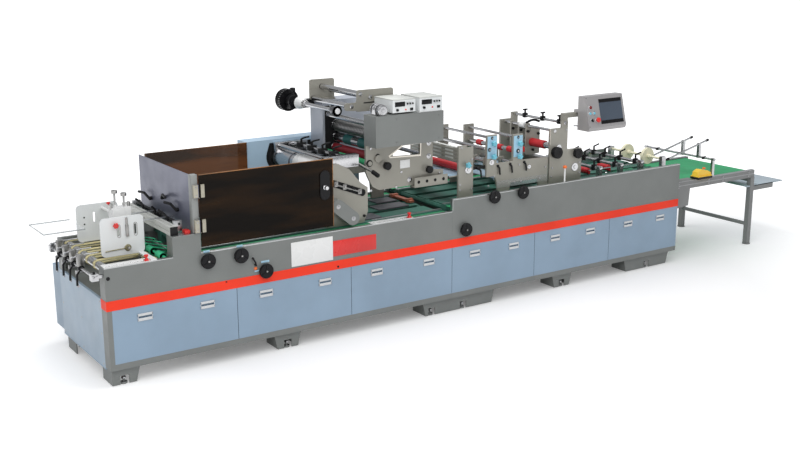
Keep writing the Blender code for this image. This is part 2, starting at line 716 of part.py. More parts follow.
def stand(start, end, screw, side, slope_start, slope_end):
    """A folded stand under the rail, and the levelling screw that shows in the notch of its face."""
    top = RAIL_BOTTOM + WELD
    near = side == "near"
    face_low = STAND_INSET if near else BODY_DEPTH - STAND_INSET - STAND_SHEET
    inner = face_low + STAND_SHEET - WELD if near else face_low - STAND_DEPTH + WELD
    strip = (inner, inner + STAND_DEPTH)
    notch_top = STAND_LIFT + NOTCH_HEIGHT
    half = NOTCH_WIDTH / 2
    outline = [(start, STAND_LIFT), (screw - half, STAND_LIFT), (screw - half, notch_top),
               (screw + half, notch_top), (screw + half, STAND_LIFT), (end, STAND_LIFT),
               (end + slope_end, top), (start - slope_start, top)]
    face = outline_plate(outline, (face_low, face_low + STAND_SHEET))
    cheeks = [box((edge, edge + STAND_SHEET), strip, (STAND_LIFT, top))
              for edge in (start, end - STAND_SHEET)]
    y = face_low + STAND_SHEET + SCREW_SETBACK if near else face_low - SCREW_SETBACK
    return [face, *cheeks,
            bar("Z", (screw, y), (0.0, PAD_HEIGHT), PAD_RADIUS, sides=10),
            bar("Z", (screw, y), (PAD_HEIGHT - WELD, top), SCREW_RADIUS, sides=6)]


def stand_places():
    """Start, end and screw of each stand, one list for each module."""
    middle = INFEED_END / 2 + INFEED_MIDDLE_SHIFT
    half = MIDDLE_STAND / 2
    infeed = ((END_PANEL_THICKNESS + GAP, END_PANEL_THICKNESS + INFEED_END_STAND, INFEED_END_SCREW),
              (middle - half, middle + half, middle),
              (INFEED_END - SEAM_STAND_BEFORE, INFEED_END - GAP, INFEED_END - SEAM_SCREW_BEFORE))
    middle = (INFEED_END + BODY_END) / 2 + DELIVERY_MIDDLE_SHIFT
    start = BODY_END + END_STAND_OVERHANG - END_STAND - 2 * END_STAND_OVERHANG
    delivery = ((INFEED_END + GAP, INFEED_END + SEAM_STAND_AFTER, INFEED_END + SEAM_SCREW_AFTER),
                (middle - half, middle + half, middle),
                (start, start + END_STAND, start + END_STAND_SCREW))
    return infeed, delivery


def cabinet(name, start, end, stands, has_corner):
    """The closed lower cabinet with its bottom rail, stands and levelling screws."""
    core_start = start + END_PANEL_THICKNESS + GAP if has_corner else start
    shapes = [
        box((core_start, end), (DOOR_THICKNESS + GAP, BODY_DEPTH), (RAIL_TOP - WELD, DOOR_TOP - GAP)),
        box((core_start, end), (INNER_NEAR + GAP, INNER_FAR - GAP), (DOOR_TOP - WELD, END_PANEL_TOP)),
        box((core_start, end), (0.0, BODY_DEPTH), (RAIL_BOTTOM, RAIL_TOP)),
    ]
    if has_corner:
        shapes.append(box((start, start + CORNER_POST_WIDTH), (0.0, CORNER_POST_DEPTH),
                          (RAIL_BOTTOM, DOOR_TOP - GAP)))
    for stand_start, stand_end, screw in stands:
        slope_start = 0.0 if stand_start <= core_start else STAND_SLOPE
        slope_end = 0.0 if stand_end >= end else STAND_SLOPE
        for side in ("near", "far"):
            shapes += stand(stand_start, stand_end, screw, side, slope_start, slope_end)
    return part(name, "body_grey", shapes)


def door(number, start, end):
    """A lift-off front door with two sunk pull handles."""
    shapes = [box((start, end), (0.0, DOOR_THICKNESS), (RAIL_TOP + GAP, DOOR_TOP - GAP))]
    cuts = []
    middle_rise = DOOR_TOP - HANDLE_DROP
    for middle in (start + HANDLE_INSET, end - HANDLE_INSET):
        half = HANDLE_LENGTH / 2
        pocket = half - HANDLE_RIM
        shapes.append(box((middle - half, middle + half), (-HANDLE_PROUD, WELD),
                          (middle_rise - HANDLE_HEIGHT / 2, middle_rise + HANDLE_HEIGHT / 2)))
        cuts.append(box((middle - pocket, middle + pocket), (-HANDLE_POCKET, HANDLE_POCKET),
                        (middle_rise - HANDLE_HEIGHT / 4, middle_rise + HANDLE_HEIGHT / 4)))
    return part(f"door_{number}", "door_blue", shapes, cuts)


def build_doors():
    for index in range(DOORS_PER_MODULE):
        start = index * INFEED_DOOR_PITCH
        left = CORNER_POST_WIDTH + GAP if index == 0 else start + DOOR_SEAM / 2
        door(index + 1, left, start + INFEED_DOOR_PITCH - DOOR_SEAM / 2)
    for index in range(DOORS_PER_MODULE):
        start = INFEED_END + index * DELIVERY_DOOR_PITCH
        door(DOORS_PER_MODULE + index + 1, start + DOOR_SEAM / 2, start + DELIVERY_DOOR_PITCH - DOOR_SEAM / 2)


def drive_cover(name, start, end, pitch):
    """The sheet cover over the drives along the back, with a groove between its panels."""
    outer = BODY_DEPTH + DRIVE_COVER_DEPTH
    bottom = RAIL_BOTTOM + DRIVE_COVER_FOOT
    shapes = [box((start, end), (BODY_DEPTH + GAP, outer), (bottom, DRIVE_COVER_TOP))]
    cuts = []
    for index in range(1, DOORS_PER_MODULE):
        seam = start + pitch * index
        cuts.append(box((seam - DOOR_SEAM / 2, seam + DOOR_SEAM / 2), (outer - DOOR_SEAM, outer + DOOR_SEAM),
                        (bottom - DOOR_SEAM, DRIVE_COVER_TOP + DOOR_SEAM)))
    return part(name, "door_blue", shapes, cuts)


def side_plate_infeed(name, near):
    """The infeed side plate with its end post and the pedestal that carries the crossbeam."""
    ys = (0.0, SIDE_PLATE) if near else (BODY_DEPTH - SIDE_PLATE, BODY_DEPTH)
    thick = (0.0, PEDESTAL_DEPTH) if near else (BODY_DEPTH - PEDESTAL_DEPTH, BODY_DEPTH)
    post = (0.0, CORNER_POST_DEPTH) if near else (BODY_DEPTH - CORNER_POST_DEPTH, BODY_DEPTH)
    start = 0.0 if near else END_PANEL_THICKNESS + GAP
    shapes = [
        box((start, INFEED_END - GAP), ys, (DOOR_TOP, INFEED_PLATE_TOP)),
        box((PEDESTAL_START, PEDESTAL_END), thick, (INFEED_PLATE_TOP - SIDE_PLATE, PEDESTAL_TOP)),
        box((0.0, END_PANEL_THICKNESS + GAP + WELD), post, (END_PANEL_TOP + GAP, INFEED_PLATE_TOP)),
    ]
    if near:
        for place in INFEED_WHEEL_PLACES:
            shapes += handwheel(PEDESTAL_END + place, INFEED_PLATE_TOP - INFEED_WHEEL_DROP)
        shapes += handwheel(PEDESTAL_END + LOW_WHEEL_PLACE, STRIPE_TOP + LOW_WHEEL_LIFT)
    return part(name, "body_grey", shapes)


def side_plate_delivery(name, near):
    """The taller side plate of the delivery module."""
    ys = (0.0, SIDE_PLATE) if near else (BODY_DEPTH - SIDE_PLATE, BODY_DEPTH)
    shapes = [box((INFEED_END + GAP, BODY_END), ys, (DOOR_TOP, DELIVERY_PLATE_TOP))]
    if near:
        shapes += handwheel(INFEED_END + SEAM_WHEEL_PLACE, STRIPE_TOP + SEAM_WHEEL_LIFT)
        for place in DELIVERY_WHEEL_PLACES:
            shapes += handwheel(INFEED_END + place, DELIVERY_PLATE_TOP - DELIVERY_WHEEL_DROP)
    return part(name, "body_grey", shapes)


def build_stripe():
    """The raised stripe along the front, turned round the infeed corner."""
    face = -STRIPE_THICKNESS - GAP
    shapes = [
        box((face, BODY_END), (face, -GAP), (DOOR_TOP + GAP, STRIPE_TOP)),
        box((face, -GAP), (face, CORNER_POST_DEPTH), (DOOR_TOP + GAP, STRIPE_TOP)),
    ]
    return part("stripe", "stripe_red", shapes)


def build_body():
    """Cabinets, doors, drive covers, side plates, stripe and end panel."""
    infeed_stands, delivery_stands = stand_places()
    cabinet("cabinet_infeed", 0.0, INFEED_END - GAP, infeed_stands, True)
    cabinet("cabinet_delivery", INFEED_END + GAP, BODY_END, delivery_stands, False)
    build_doors()
    drive_cover("drive_cover_infeed", 0.0, INFEED_END - GAP, INFEED_DOOR_PITCH)
    drive_cover("drive_cover_delivery", INFEED_END + GAP, BODY_END, DELIVERY_DOOR_PITCH)
    side_plate_infeed("side_plate_front_infeed", True)
    side_plate_infeed("side_plate_back_infeed", False)
    side_plate_delivery("side_plate_front_delivery", True)
    side_plate_delivery("side_plate_back_delivery", False)
    build_stripe()
    part("end_panel", "cover_blue",
         [box((0.0, END_PANEL_THICKNESS), (CORNER_POST_DEPTH + GAP, BODY_DEPTH - GAP),
              (RAIL_BOTTOM - END_PANEL_OVERHANG, END_PANEL_TOP))])


def feed_belt_unit():
    """Two cross rollers with narrow belts round them."""
    rise = INFEED_PLATE_TOP - FEED_ROLLER_DROP
    span = (INNER_NEAR + GAP, INNER_FAR - GAP)
    ends = ((FEED_ROLLER_FRONT, rise), (FEED_ROLLER_BACK, rise))
    shapes = [bar("Y", end, span, FEED_ROLLER_RADIUS, sides=10) for end in ends]
    pitch = (INNER_FAR - INNER_NEAR) / FEED_BELT_COUNT
    for index in range(FEED_BELT_COUNT):
        middle = INNER_NEAR + pitch * (index + 0.5)
        outer = slot_of(*ends, FEED_ROLLER_RADIUS + BELT_THICKNESS, 3)
        inner = slot_of(*ends, FEED_ROLLER_RADIUS - WELD, 3)
        shapes.append(outline_plate(outer, (middle - FEED_BELT_WIDTH / 2, middle + FEED_BELT_WIDTH / 2),
                                    holes=(inner,)))
    part("feed_belts", "belt_cream", shapes)


def feed_plate(name, y, to_near):
    """An upright side plate of the stack, with two slots, on a strip from the machine's side plate."""
    foot = INFEED_PLATE_TOP + FEED_PLATE_LIFT
    end = FEED_PLATE_START + FEED_PLATE_LENGTH
    top = foot + FEED_PLATE_HEIGHT
    corners = [(FEED_PLATE_START, foot), (end, foot), (end, top), (FEED_PLATE_START, top)]
    outline = rounded(corners, FEED_PLATE_CORNER)
    slot_low = foot + FEED_SLOT_RISE
    slots = []
    for place in FEED_SLOT_PLACES:
        x = FEED_PLATE_START + place
        slots.append(slot_of((x, slot_low), (x, slot_low + FEED_SLOT_LENGTH), FEED_SLOT_RADIUS))
    strip = (FEED_STRIP_INSET, y + WELD)
    if not to_near:
        strip = (y + FEED_PLATE_THICKNESS - WELD, BODY_DEPTH - FEED_STRIP_INSET)
    strip_start = FEED_PLATE_START + FEED_STRIP_PLACE
    part(name, "plate_white", [
        outline_plate(outline, (y, y + FEED_PLATE_THICKNESS), holes=slots),
        box((strip_start, strip_start + FEED_STRIP_WIDTH), strip,
            (INFEED_PLATE_TOP + GAP, INFEED_PLATE_TOP + GAP + FEED_STRIP_THICKNESS))])


def feed_gate(near_plate, far_plate):
    """The gate's cross rod with its block and two thumb screws."""
    rise = INFEED_PLATE_TOP + GATE_RISE
    x = FEED_PLATE_START + GATE_PLACE
    block_start = x - GATE_BLOCK_LENGTH / 2
    middle = near_plate + GATE_BLOCK_WIDTH + GATE_KNOB_RADIUS
    block_top = rise + GATE_BLOCK_HEIGHT - GATE_ROD
    shapes = [
        bar("Y", (x, rise + GATE_ROD / 2), (near_plate, far_plate), GATE_ROD, sides=12),
        box((block_start, block_start + GATE_BLOCK_LENGTH),
            (middle - GATE_BLOCK_WIDTH / 2, middle + GATE_BLOCK_WIDTH / 2), (rise - GATE_ROD, block_top)),
    ]
    for share, height in GATE_SCREWS:
        knob_top = block_top + height
        knob_low = knob_top - GATE_KNOB_RADIUS
        profile = ((block_top - WELD, GATE_SCREW_RADIUS), (knob_low, GATE_SCREW_RADIUS),
                   (knob_low, GATE_KNOB_RADIUS), (knob_top, GATE_KNOB_RADIUS))
        shapes.append(turned("Z", (block_start + GATE_BLOCK_LENGTH * share, middle), profile, 12))
    part("feed_gate", "aluminium", shapes)


def backstop_unit():
    """The rod before the infeed end with its clamps, forks and hanging levers."""
    x = -BACKSTOP_REACH
    rise = INFEED_PLATE_TOP - BACKSTOP_DROP
    clamp = BACKSTOP_BLOCK
    near_clamp = FORK_THICKNESS
    far_clamp = BODY_DEPTH - 2 * clamp + BACKSTOP_ROD / 2
    shapes = [bar("Y", (x, rise), (WELD, far_clamp + clamp), BACKSTOP_ROD, sides=12)]
    for y in (near_clamp, far_clamp):
        arm = (y + clamp / 4, y + clamp * 3 / 4)
        shapes.append(box((x - clamp / 2, x + clamp / 2), (y, y + clamp),
                          (rise - clamp / 2, rise + clamp / 2)))
        shapes.append(box((x, -GAP), arm, (rise - BACKSTOP_ROD, rise + BACKSTOP_ROD)))
    for index in range(FORK_COUNT):
        y = FORK_START + FORK_PITCH * index
        ys = (y - FORK_THICKNESS / 2, y + FORK_THICKNESS / 2)
        shapes.append(outline_plate(placed(FORK_OUTLINE, x, rise), ys))
        shapes.append(outline_plate(placed(LEVER_OUTLINE, x, rise), ys))
        shapes.append(bar("X", (y, rise + FORK_ROD_RISE), (x + FORK_ROD, FEED_PLATE_START - WELD), FORK_ROD,
                          sides=8))
    part("backstop", "aluminium", shapes)


def crossbeam():
    """The grooved profile across the pedestals, with its end caps."""
    start = PEDESTAL_START + CROSSBEAM_INSET
    end = start + CROSSBEAM_WIDTH
    bottom = PEDESTAL_TOP + GAP
    top = bottom + CROSSBEAM_HEIGHT
    half = CROSSBEAM_GROOVE / 2
    middle = (start + end) / 2
    level = (bottom + top) / 2
    outline = [(start, bottom), (end, bottom), (end, level - half), (end - half, level - half),
               (end - half, level + half), (end, level + half), (end, top), (middle + half, top),
               (middle + half, top - half), (middle - half, top - half), (middle - half, top), (start, top),
               (start, level + half), (start + half, level + half), (start + half, level - half),
               (start, level - half)]
    ends = (CROSSBEAM_END, BODY_DEPTH - CROSSBEAM_END)
    shapes = [outline_plate(outline, ends)]
    for y in ends:
        shapes.append(box((start - GAP, end + GAP), (y - half, y + half), (bottom, top + GAP)))
    part("crossbeam", "aluminium", shapes)


def feed_shaft():
    """The shaft with soft sleeves that takes the blank from the feed belts."""
    rise = INFEED_PLATE_TOP - FEED_SHAFT_DROP
    span = (INNER_NEAR + GAP, INNER_FAR - GAP)
    shapes = [bar("Y", (FEED_SHAFT_X, rise), span, FEED_SHAFT_RADIUS, sides=12)]
    first = FEED_SLEEVE_INSET + FEED_SLEEVE_LENGTH / 2
    pitch = (BODY_DEPTH - 2 * first) / (FEED_SLEEVE_COUNT - 1)
    for index in range(FEED_SLEEVE_COUNT):
        y = first + pitch * index
        sleeve = (y - FEED_SLEEVE_LENGTH / 2, y + FEED_SLEEVE_LENGTH / 2)
        shapes.append(bar("Y", (FEED_SHAFT_X, rise), sleeve, FEED_SLEEVE_RADIUS, sides=12))
    part("feed_shaft", "belt_green", shapes, origin=(FEED_SHAFT_X, BODY_DEPTH / 2, rise))


def build_feeder():
    """Feed belts, side plates, gate, backstop, crossbeam and the clear table."""
    feed_belt_unit()
    near_plate = (BODY_DEPTH - CARTON_WIDTH) / 2 - FEED_PLATE_THICKNESS
    far_plate = near_plate + CARTON_WIDTH + FEED_PLATE_THICKNESS
    feed_plate("feed_plate_near", near_plate, True)
    feed_plate("feed_plate_far", far_plate, False)
    feed_gate(near_plate + FEED_PLATE_THICKNESS + GAP, far_plate - GAP)
    backstop_unit()
    crossbeam()
    table_top = INFEED_PLATE_TOP + FEED_PLATE_LIFT + CLEAR_TABLE_RISE
    table_ys = (CLEAR_TABLE_NEAR, BODY_DEPTH - CLEAR_TABLE_INSET)
    part("clear_table", "clear",
         [box((-CLEAR_TABLE_REACH, FEED_PLATE_START - GAP), table_ys,
              (table_top, table_top + CLEAR_TABLE_THICKNESS))])
    feed_shaft()


def build_guard():
    """Smoked guard: end plate with its post, hinged front door and fixed back panel."""
    post_start = PEDESTAL_END - GUARD_POST_WIDTH
    post_y = (GUARD_POST_INSET, GUARD_POST_INSET + GUARD_POST_DEPTH)
    bottom = PEDESTAL_TOP + GAP
    hinge_y = (-GUARD_POST_INSET, GUARD_POST_INSET + WELD)
    pin = (PEDESTAL_END + HINGE_OFFSET, -HINGE_PROUD)
    hinges = [(bottom + lift - HINGE_HEIGHT / 2, bottom + lift + HINGE_HEIGHT / 2) for lift in HINGE_LIFTS]
    leaf_end = pin[0] - HINGE_PIN_RADIUS - HINGE_CLEARANCE
    sheet_y = (post_y[1] - WELD, BODY_DEPTH - GUARD_BACK_INSET + WELD)
    part("guard_end", "guard_steel", [
        box((post_start, PEDESTAL_END), post_y, (bottom, GUARD_TOP)),
        box((post_start, post_start + GUARD_END_SHEET), sheet_y, (bottom, GUARD_TOP)),
        *[box((leaf_end - HINGE_LEAF, leaf_end), hinge_y, zs) for zs in hinges],
    ])
    door_start = PEDESTAL_END + GUARD_DOOR_CLEARANCE + HINGE_CLEARANCE
    door_end = PATCH_START - GUARD_DOOR_CLEARANCE
    door_bottom = INFEED_PLATE_TOP + GUARD_DOOR_LIFT
    shapes = [box((door_start, door_end), (0.0, GUARD_SHEET), (door_bottom, GUARD_TOP))]
    leaf_y = (pin[1] - HINGE_PIN_RADIUS / 2, WELD)
    for zs in hinges:
        shapes.append(bar("Z", pin, zs, HINGE_PIN_RADIUS, sides=12))
        shapes.append(box((pin[0], pin[0] + HINGE_LEAF), leaf_y, zs))
    latch_x = door_end - LATCH_INSET
    latch_rise = GUARD_TOP - LATCH_DROP
    latch_ends = ((latch_x, latch_rise - LATCH_HALF), (latch_x, latch_rise + LATCH_HALF))
    shapes.append(outline_plate(slot_of(*latch_ends, LATCH_RADIUS, 6), (-LATCH_PROUD, WELD)))
    knob = ((-LATCH_RADIUS, LATCH_KNOB / 2), (-LATCH_RADIUS + LATCH_KNOB / 2, LATCH_KNOB),
            (-LATCH_RADIUS / 2, LATCH_KNOB), (-LATCH_PROUD + WELD, LATCH_KNOB / 2))
    shapes.append(turned("Y", (latch_x, latch_rise - LATCH_HALF / 4), knob, 12))
    part("guard_door", "smoked", shapes, origin=(pin[0], pin[1], (door_bottom + GUARD_TOP) / 2))
    part("guard_panel", "smoked", [
        box((PEDESTAL_END + GAP, PATCH_START - GEAR_COVER_LEAD - GAP),
            (BODY_DEPTH - GUARD_BACK_INSET, BODY_DEPTH - GUARD_BACK_INSET + GUARD_SHEET),
            (INFEED_PLATE_TOP + GAP, GUARD_TOP))])


def gear_cover():
    """The drive housing behind the cylinder, whose mouth takes the cylinder's journal and the web."""
    back = BODY_DEPTH + GAP
    start = PATCH_START - GEAR_COVER_LEAD
    x = PATCH_START + CYLINDER_PLACE
    rise = INFEED_BED + CYLINDER_RISE
    mouth = (back - WELD, back + MOUTH_DEPTH)
    ring = outline_plate(ring_of((x, rise), CYLINDER_RADIUS + CYLINDER_MOUTH), mouth,
                         holes=(ring_of((x, rise), CYLINDER_JOURNAL, 12),))
    slot_rise = rise + MOUTH_LIFT
    slot_ends = ((x + MOUTH_PLACE, slot_rise), (x + MOUTH_PLACE + MOUTH_LENGTH, slot_rise))
    slot = outline_plate(slot_of(*slot_ends, MOUTH_HEIGHT / 2, 5), mouth)
    part("gear_cover", "cover_blue",
         [box((start, start + GEAR_COVER_LENGTH), (back, back + GEAR_COVER_DEPTH),
              (DRIVE_COVER_TOP + GAP, INFEED_BED + GEAR_COVER_RISE))], [ring, slot])


def build_patching():
    """Gear cover, plate cylinder, glue unit plate and its belt cover."""
    gear_cover()
    x = PATCH_START + CYLINDER_PLACE
    rise = INFEED_BED + CYLINDER_RISE
    near_face = NEAR_PLATE[1] + CYLINDER_STANDOFF
    far_face = BODY_DEPTH - GAP
    part("plate_cylinder", "chrome", [turned("Y", (x, rise), (
        (NEAR_PLATE[1] + GAP, CYLINDER_JOURNAL), (near_face, CYLINDER_JOURNAL), (near_face, CYLINDER_RADIUS),
        (far_face, CYLINDER_RADIUS)), 28)], origin=(x, BODY_DEPTH / 2, rise))
    part("glue_plate", "plate_warm",
         [outline_plate(placed(GLUE_OUTLINE, PATCH_START, INFEED_BED + GAP), NEAR_PLATE)])
    low, high = placed((BELT_COVER_LOW, BELT_COVER_HIGH), PATCH_START, INFEED_BED)
    face = SIDE_PLATE
    back = face + BELT_COVER_WIDTH
    shafts = [bar("Y", end, (back - WELD, NEAR_PLATE[0] - GAP), BELT_SHAFT_RADIUS, sides=12)
              for end in (low, high)]
    part("belt_cover", "body_grey",
         [outline_plate(slot_of(high, low, BELT_COVER_RADIUS), (face, back)), *shafts])


def knob(centre, plate, radius, reach):
    """A turned knob on a stem, which stands out to the operator's side from a plate's near face."""
    front = plate - reach
    neck = plate - reach * KNOB_NECK_SHARE
    bevel = radius * KNOB_BEVEL_SHARE
    profile = ((front, radius - bevel), (front + bevel, radius), (neck, radius), (neck, radius / 2),
               (plate + WELD, radius / 2))
    return turned("Y", centre, profile)


def roller(name, material, place, near, far):
    """A roller with chamfered edges and stepped journals that end at its side plates."""
    along, up, radius = place
    x = TOWER_START + along
    rise = INFEED_BED + up
    journal = radius * JOURNAL_SHARE
    edge = ROLLER_SHOULDER / 4
    start = near + ROLLER_SHOULDER
    end = far - ROLLER_SHOULDER
    profile = ((near + GAP, journal), (start, journal), (start, radius - edge), (start + edge, radius),
               (end - edge, radius), (end, radius - edge), (end, journal), (far - GAP, journal))
    return part(name, material, [turned("Y", (x, rise), profile, ROUND + 2)], origin=(x, (near + far) / 2, rise))


def tower_plates(near, far):
    """The tower's side plates: the near one with window, ties, bearings and knobs, the far one on legs."""
    shoulder = placed(((TOWER_LENGTH, TOWER_COVER_RISE - GAP), (0.0, TOWER_COVER_RISE - GAP),
                       (0.0, TOWER_NEAR_SHOULDER)), TOWER_START, INFEED_BED)
    outline = placed(TOWER_NEAR_OUTLINE, TOWER_START, INFEED_BED) + shoulder
    window = rounded(placed(TOWER_WINDOW, TOWER_START, INFEED_BED), TOWER_WINDOW_CORNER)
    shapes = [outline_plate(outline, near, holes=(window,))]
    for along, up in TOWER_TIES:
        shapes.append(bar("Y", (TOWER_START + along, INFEED_BED + up), (near[0] + WELD, far[0] - GAP),
                          TOWER_TIE_RADIUS, sides=12))
    for along, up, radius, reach in TOWER_KNOBS:
        shapes.append(knob((TOWER_START + along, INFEED_BED + up), near[0], radius, reach))
    bearing = (near[0] - BEARING_PROUD, near[0] + WELD)
    for along, up, radius in (GREEN_ROLLER, RED_ROLLER):
        shapes.append(bar("Y", (TOWER_START + along, INFEED_BED + up), bearing, radius - BEARING_STEP))
    part("tower_plate_near", "plate_warm", shapes)
    shoulder = placed(((TOWER_LENGTH, TOWER_FAR_COVER_RISE - GAP), (0.0, TOWER_FAR_COVER_RISE - GAP),
                       (0.0, TOWER_FAR_SHOULDER)), TOWER_START, INFEED_BED)
    legs = [(along, up + GAP if up == 0.0 else up) for along, up in TOWER_FAR_LEGS]
    part("tower_plate_far", "plate_warm",
         [outline_plate(placed(legs, TOWER_START, INFEED_BED) + shoulder, far)])


def web_guide():
    """The web's guide over the tower: two plates on feet, tied by three rollers."""
    near = (GUIDE_NEAR, GUIDE_NEAR + GUIDE_SHEET)
    far = (BODY_DEPTH - GUIDE_FAR_INSET, BODY_DEPTH - GUIDE_FAR_INSET + GUIDE_SHEET)
    foot = TOWER_COVER_TOP + GAP
    far_foot = TOWER_FAR_COVER_TOP + GAP
    near_outline = rounded(placed(GUIDE_OUTLINE, TOWER_START, TOWER_COVER_TOP), GUIDE_CORNER, 2)
    far_start, far_end = (TOWER_START + place for place in GUIDE_FAR_PLATE)
    far_top = far_foot + GUIDE_FAR_HEIGHT
    corners = [(far_start, far_foot), (far_end, far_foot), (far_end, far_top), (far_start, far_top)]
    far_outline = rounded(corners, GUIDE_CORNER, 2)
    shapes = [
        outline_plate(near_outline, near),
        outline_plate(far_outline, far),
        box([TOWER_START + place for place in GUIDE_FOOT], (GUIDE_FOOT_NEAR, near[1]),
            (foot, foot + GUIDE_FOOT_HEIGHT)),
        box([TOWER_START + place for place in GUIDE_FAR_FOOT], (far[0] - 4 * GUIDE_SHEET, far[1]),
            (far_foot, far_foot + GUIDE_FOOT_HEIGHT)),
    ]
    for along, up in GUIDE_ROLLERS:
        shapes.append(bar("Y", (TOWER_START + along, TOWER_COVER_TOP + up), (near[0] - WELD, far[1] - WELD),
                          GUIDE_ROLLER_RADIUS, sides=14))
    part("web_guide", "plate_warm", shapes)


def reel_unit():
    """The reel's brake with its finned discs on the tower, and the shaft with two cones."""
    x = TOWER_START - REEL_PLACE
    rise = TOWER_COVER_TOP + REEL_LIFT
    bearing = (BODY_DEPTH + REEL_BEARING_START, BODY_DEPTH + REEL_BEARING_END)
    shapes = [
        box((x - REEL_ARM, TOWER_START - GAP), bearing, (rise - REEL_BEARING_HEIGHT, TOWER_FAR_COVER_TOP)),
        bar("Y", (x, rise), bearing, REEL_BEARING_RADIUS),
        bar("Y", (x, rise), (bearing[1] - WELD, BODY_DEPTH + BRAKE_HUB_END), BRAKE_HUB_RADIUS),
    ]
    for index in range(BRAKE_DISC_COUNT):
        start = BODY_DEPTH + BRAKE_DISC_START + index * BRAKE_DISC_PITCH
        shapes.append(bar("Y", (x, rise), (start, start + BRAKE_DISC_WIDTH), BRAKE_DISC_RADIUS, sides=20))
    part("reel_brake", "black", shapes)
    near_start, near_end, near_radius, near_nose = REEL_NEAR_CONE
    far_start, far_end, far_nose, far_radius = REEL_FAR_CONE
    thin = REEL_SHAFT_RADIUS
    profile = ((REEL_NEAR_END, thin), (REEL_NEAR_END + near_start, thin),
               (REEL_NEAR_END + near_start, near_radius), (REEL_NEAR_END + near_end, near_nose),
               (REEL_NEAR_END + near_end, thin),
               (bearing[0] + far_start, thin), (bearing[0] + far_start, far_nose),
               (bearing[0] + far_end, far_radius), (bearing[0] + far_end, thin), (bearing[0] - GAP, thin))
    part("reel_shaft", "chrome", [turned("Y", (x, rise), profile)],
         origin=(x, (REEL_NEAR_END + bearing[0]) / 2, rise))


def power_box(name, places, bottom):
    """A drive's housing on the tower, with a sunk display."""
    start, end = (TOWER_START + place for place in places)
    top = TOWER_COVER_TOP + GAP + GUIDE_FOOT_HEIGHT + POWER_BOX_HEIGHT
    margin = (end - start) / 6
    height = top - bottom
    part(name, "plate_white",
         [box((start, end), (POWER_BOX_NEAR, POWER_BOX_NEAR + POWER_BOX_DEPTH), (bottom, top))],
         [box((start + margin, end - margin), (POWER_BOX_NEAR - WELD, POWER_BOX_NEAR + DISPLAY_SINK),
              (top - height / 2, top - height / 4))])


def build_tower():
    """The patching tower: side plates, covers, rollers, web guide, reel shaft and power boxes."""
    near = (NEAR_PLATE[1], NEAR_PLATE[1] + UNIT_PLATE)
    far = FAR_PLATE
    tower_plates(near, far)
    part("tower_cover_near", "body_grey",
         [box((TOWER_START, TOWER_END), (0.0, TOWER_COVER_DEPTH), (TOWER_COVER_BOTTOM, TOWER_COVER_TOP))])
    part("tower_cover_far", "guard_steel",
         [box((TOWER_START, TOWER_END), (UNIT_FAR, BODY_DEPTH),
              (TOWER_FAR_COVER_BOTTOM, TOWER_FAR_COVER_TOP))])
    low, high = near[1], far[0]
    roller("green_roller", "belt_green", GREEN_ROLLER, low, high)
    roller("red_roller", "red_rubber", RED_ROLLER, low, high)
    roller("lower_nip_roller", "chrome", LOWER_NIP_ROLLER, low, high)
    roller("upper_nip_roller", "black", UPPER_NIP_ROLLER, TOWER_COVER_DEPTH, high)
    roller("idler_roller", "chrome", IDLER_ROLLER, TOWER_COVER_DEPTH, high)
    web_guide()
    reel_unit()
    foot = TOWER_COVER_TOP + GAP
    power_box("power_box_left", POWER_BOX_LEFT, foot + GUIDE_FOOT_HEIGHT + GAP)
    power_box("power_box_right", POWER_BOX_RIGHT, foot)
    x = TOWER_START + CLUTCH_PLACE
    radius = CLUTCH_RADIUS
    groove = radius - CLUTCH_GROOVE
    start, groove_start, groove_end, end, hub_end = CLUTCH_STEPS
    profile = ((start, groove), (start + CLUTCH_GROOVE / 2, radius), (groove_start, radius),
               (groove_start, groove), (groove_end, groove), (groove_end, radius), (end, radius),
               (end, radius / 2), (hub_end, radius / 2))
    part("clutch", "chrome", [
        box((x - radius, x + radius), (groove_end, end - WELD), (foot, foot + radius)),
        turned("Y", (x, foot + radius + GAP), profile),
    ])


def bed(name, start, end, top):
    """The bed between the side plates: two beams, cross rollers and flat belts."""
    inner = (INNER_NEAR + GAP, INNER_FAR - GAP)
    beams = (BED_BEAM_NEAR, BED_BEAM_FAR)
    shapes = [box((start, end), (beam, beam + BED_BEAM_WIDTH), (top - BED_BEAM_HEIGHT, top))
              for beam in beams]
    roller_rise = top - BED_ROLLER_RADIUS - BED_ROLLER_SINK
    for x in (start + BED_ROLLER_INSET, (start + end) / 2, end - BED_ROLLER_INSET):
        shapes.append(bar("Y", (x, roller_rise), inner, BED_ROLLER_RADIUS, sides=8))
    belt_top = top - BED_BELT_SINK
    edge_low, edge_high = BED_EDGE_BELT
    lanes = [(edge_low, edge_high), (BODY_DEPTH - edge_high, BODY_DEPTH - edge_low)]
    first = BED_BEAM_NEAR + BED_BEAM_WIDTH
    pitch = (BED_BEAM_FAR - first) / BED_BELT_COUNT
    for index in range(BED_BELT_COUNT):
        middle = first + pitch * (index + 0.5)
        lanes.append((middle - BED_BELT_WIDTH / 2, middle + BED_BELT_WIDTH / 2))
    for lane in lanes:
        shapes.append(box((start + BED_BELT_INSET, end - BED_BELT_INSET), lane,
                          (belt_top - BED_BELT_THICKNESS, belt_top)))
    return part(name, "belt_green", shapes)


def build_beds():
    bed("bed_infeed", PEDESTAL_END + BED_START_CLEARANCE, INFEED_END - BED_CLEARANCE, INFEED_BED)
    bed("bed_delivery", INFEED_END + BED_CLEARANCE, BODY_END - BED_CLEARANCE, DELIVERY_BED)


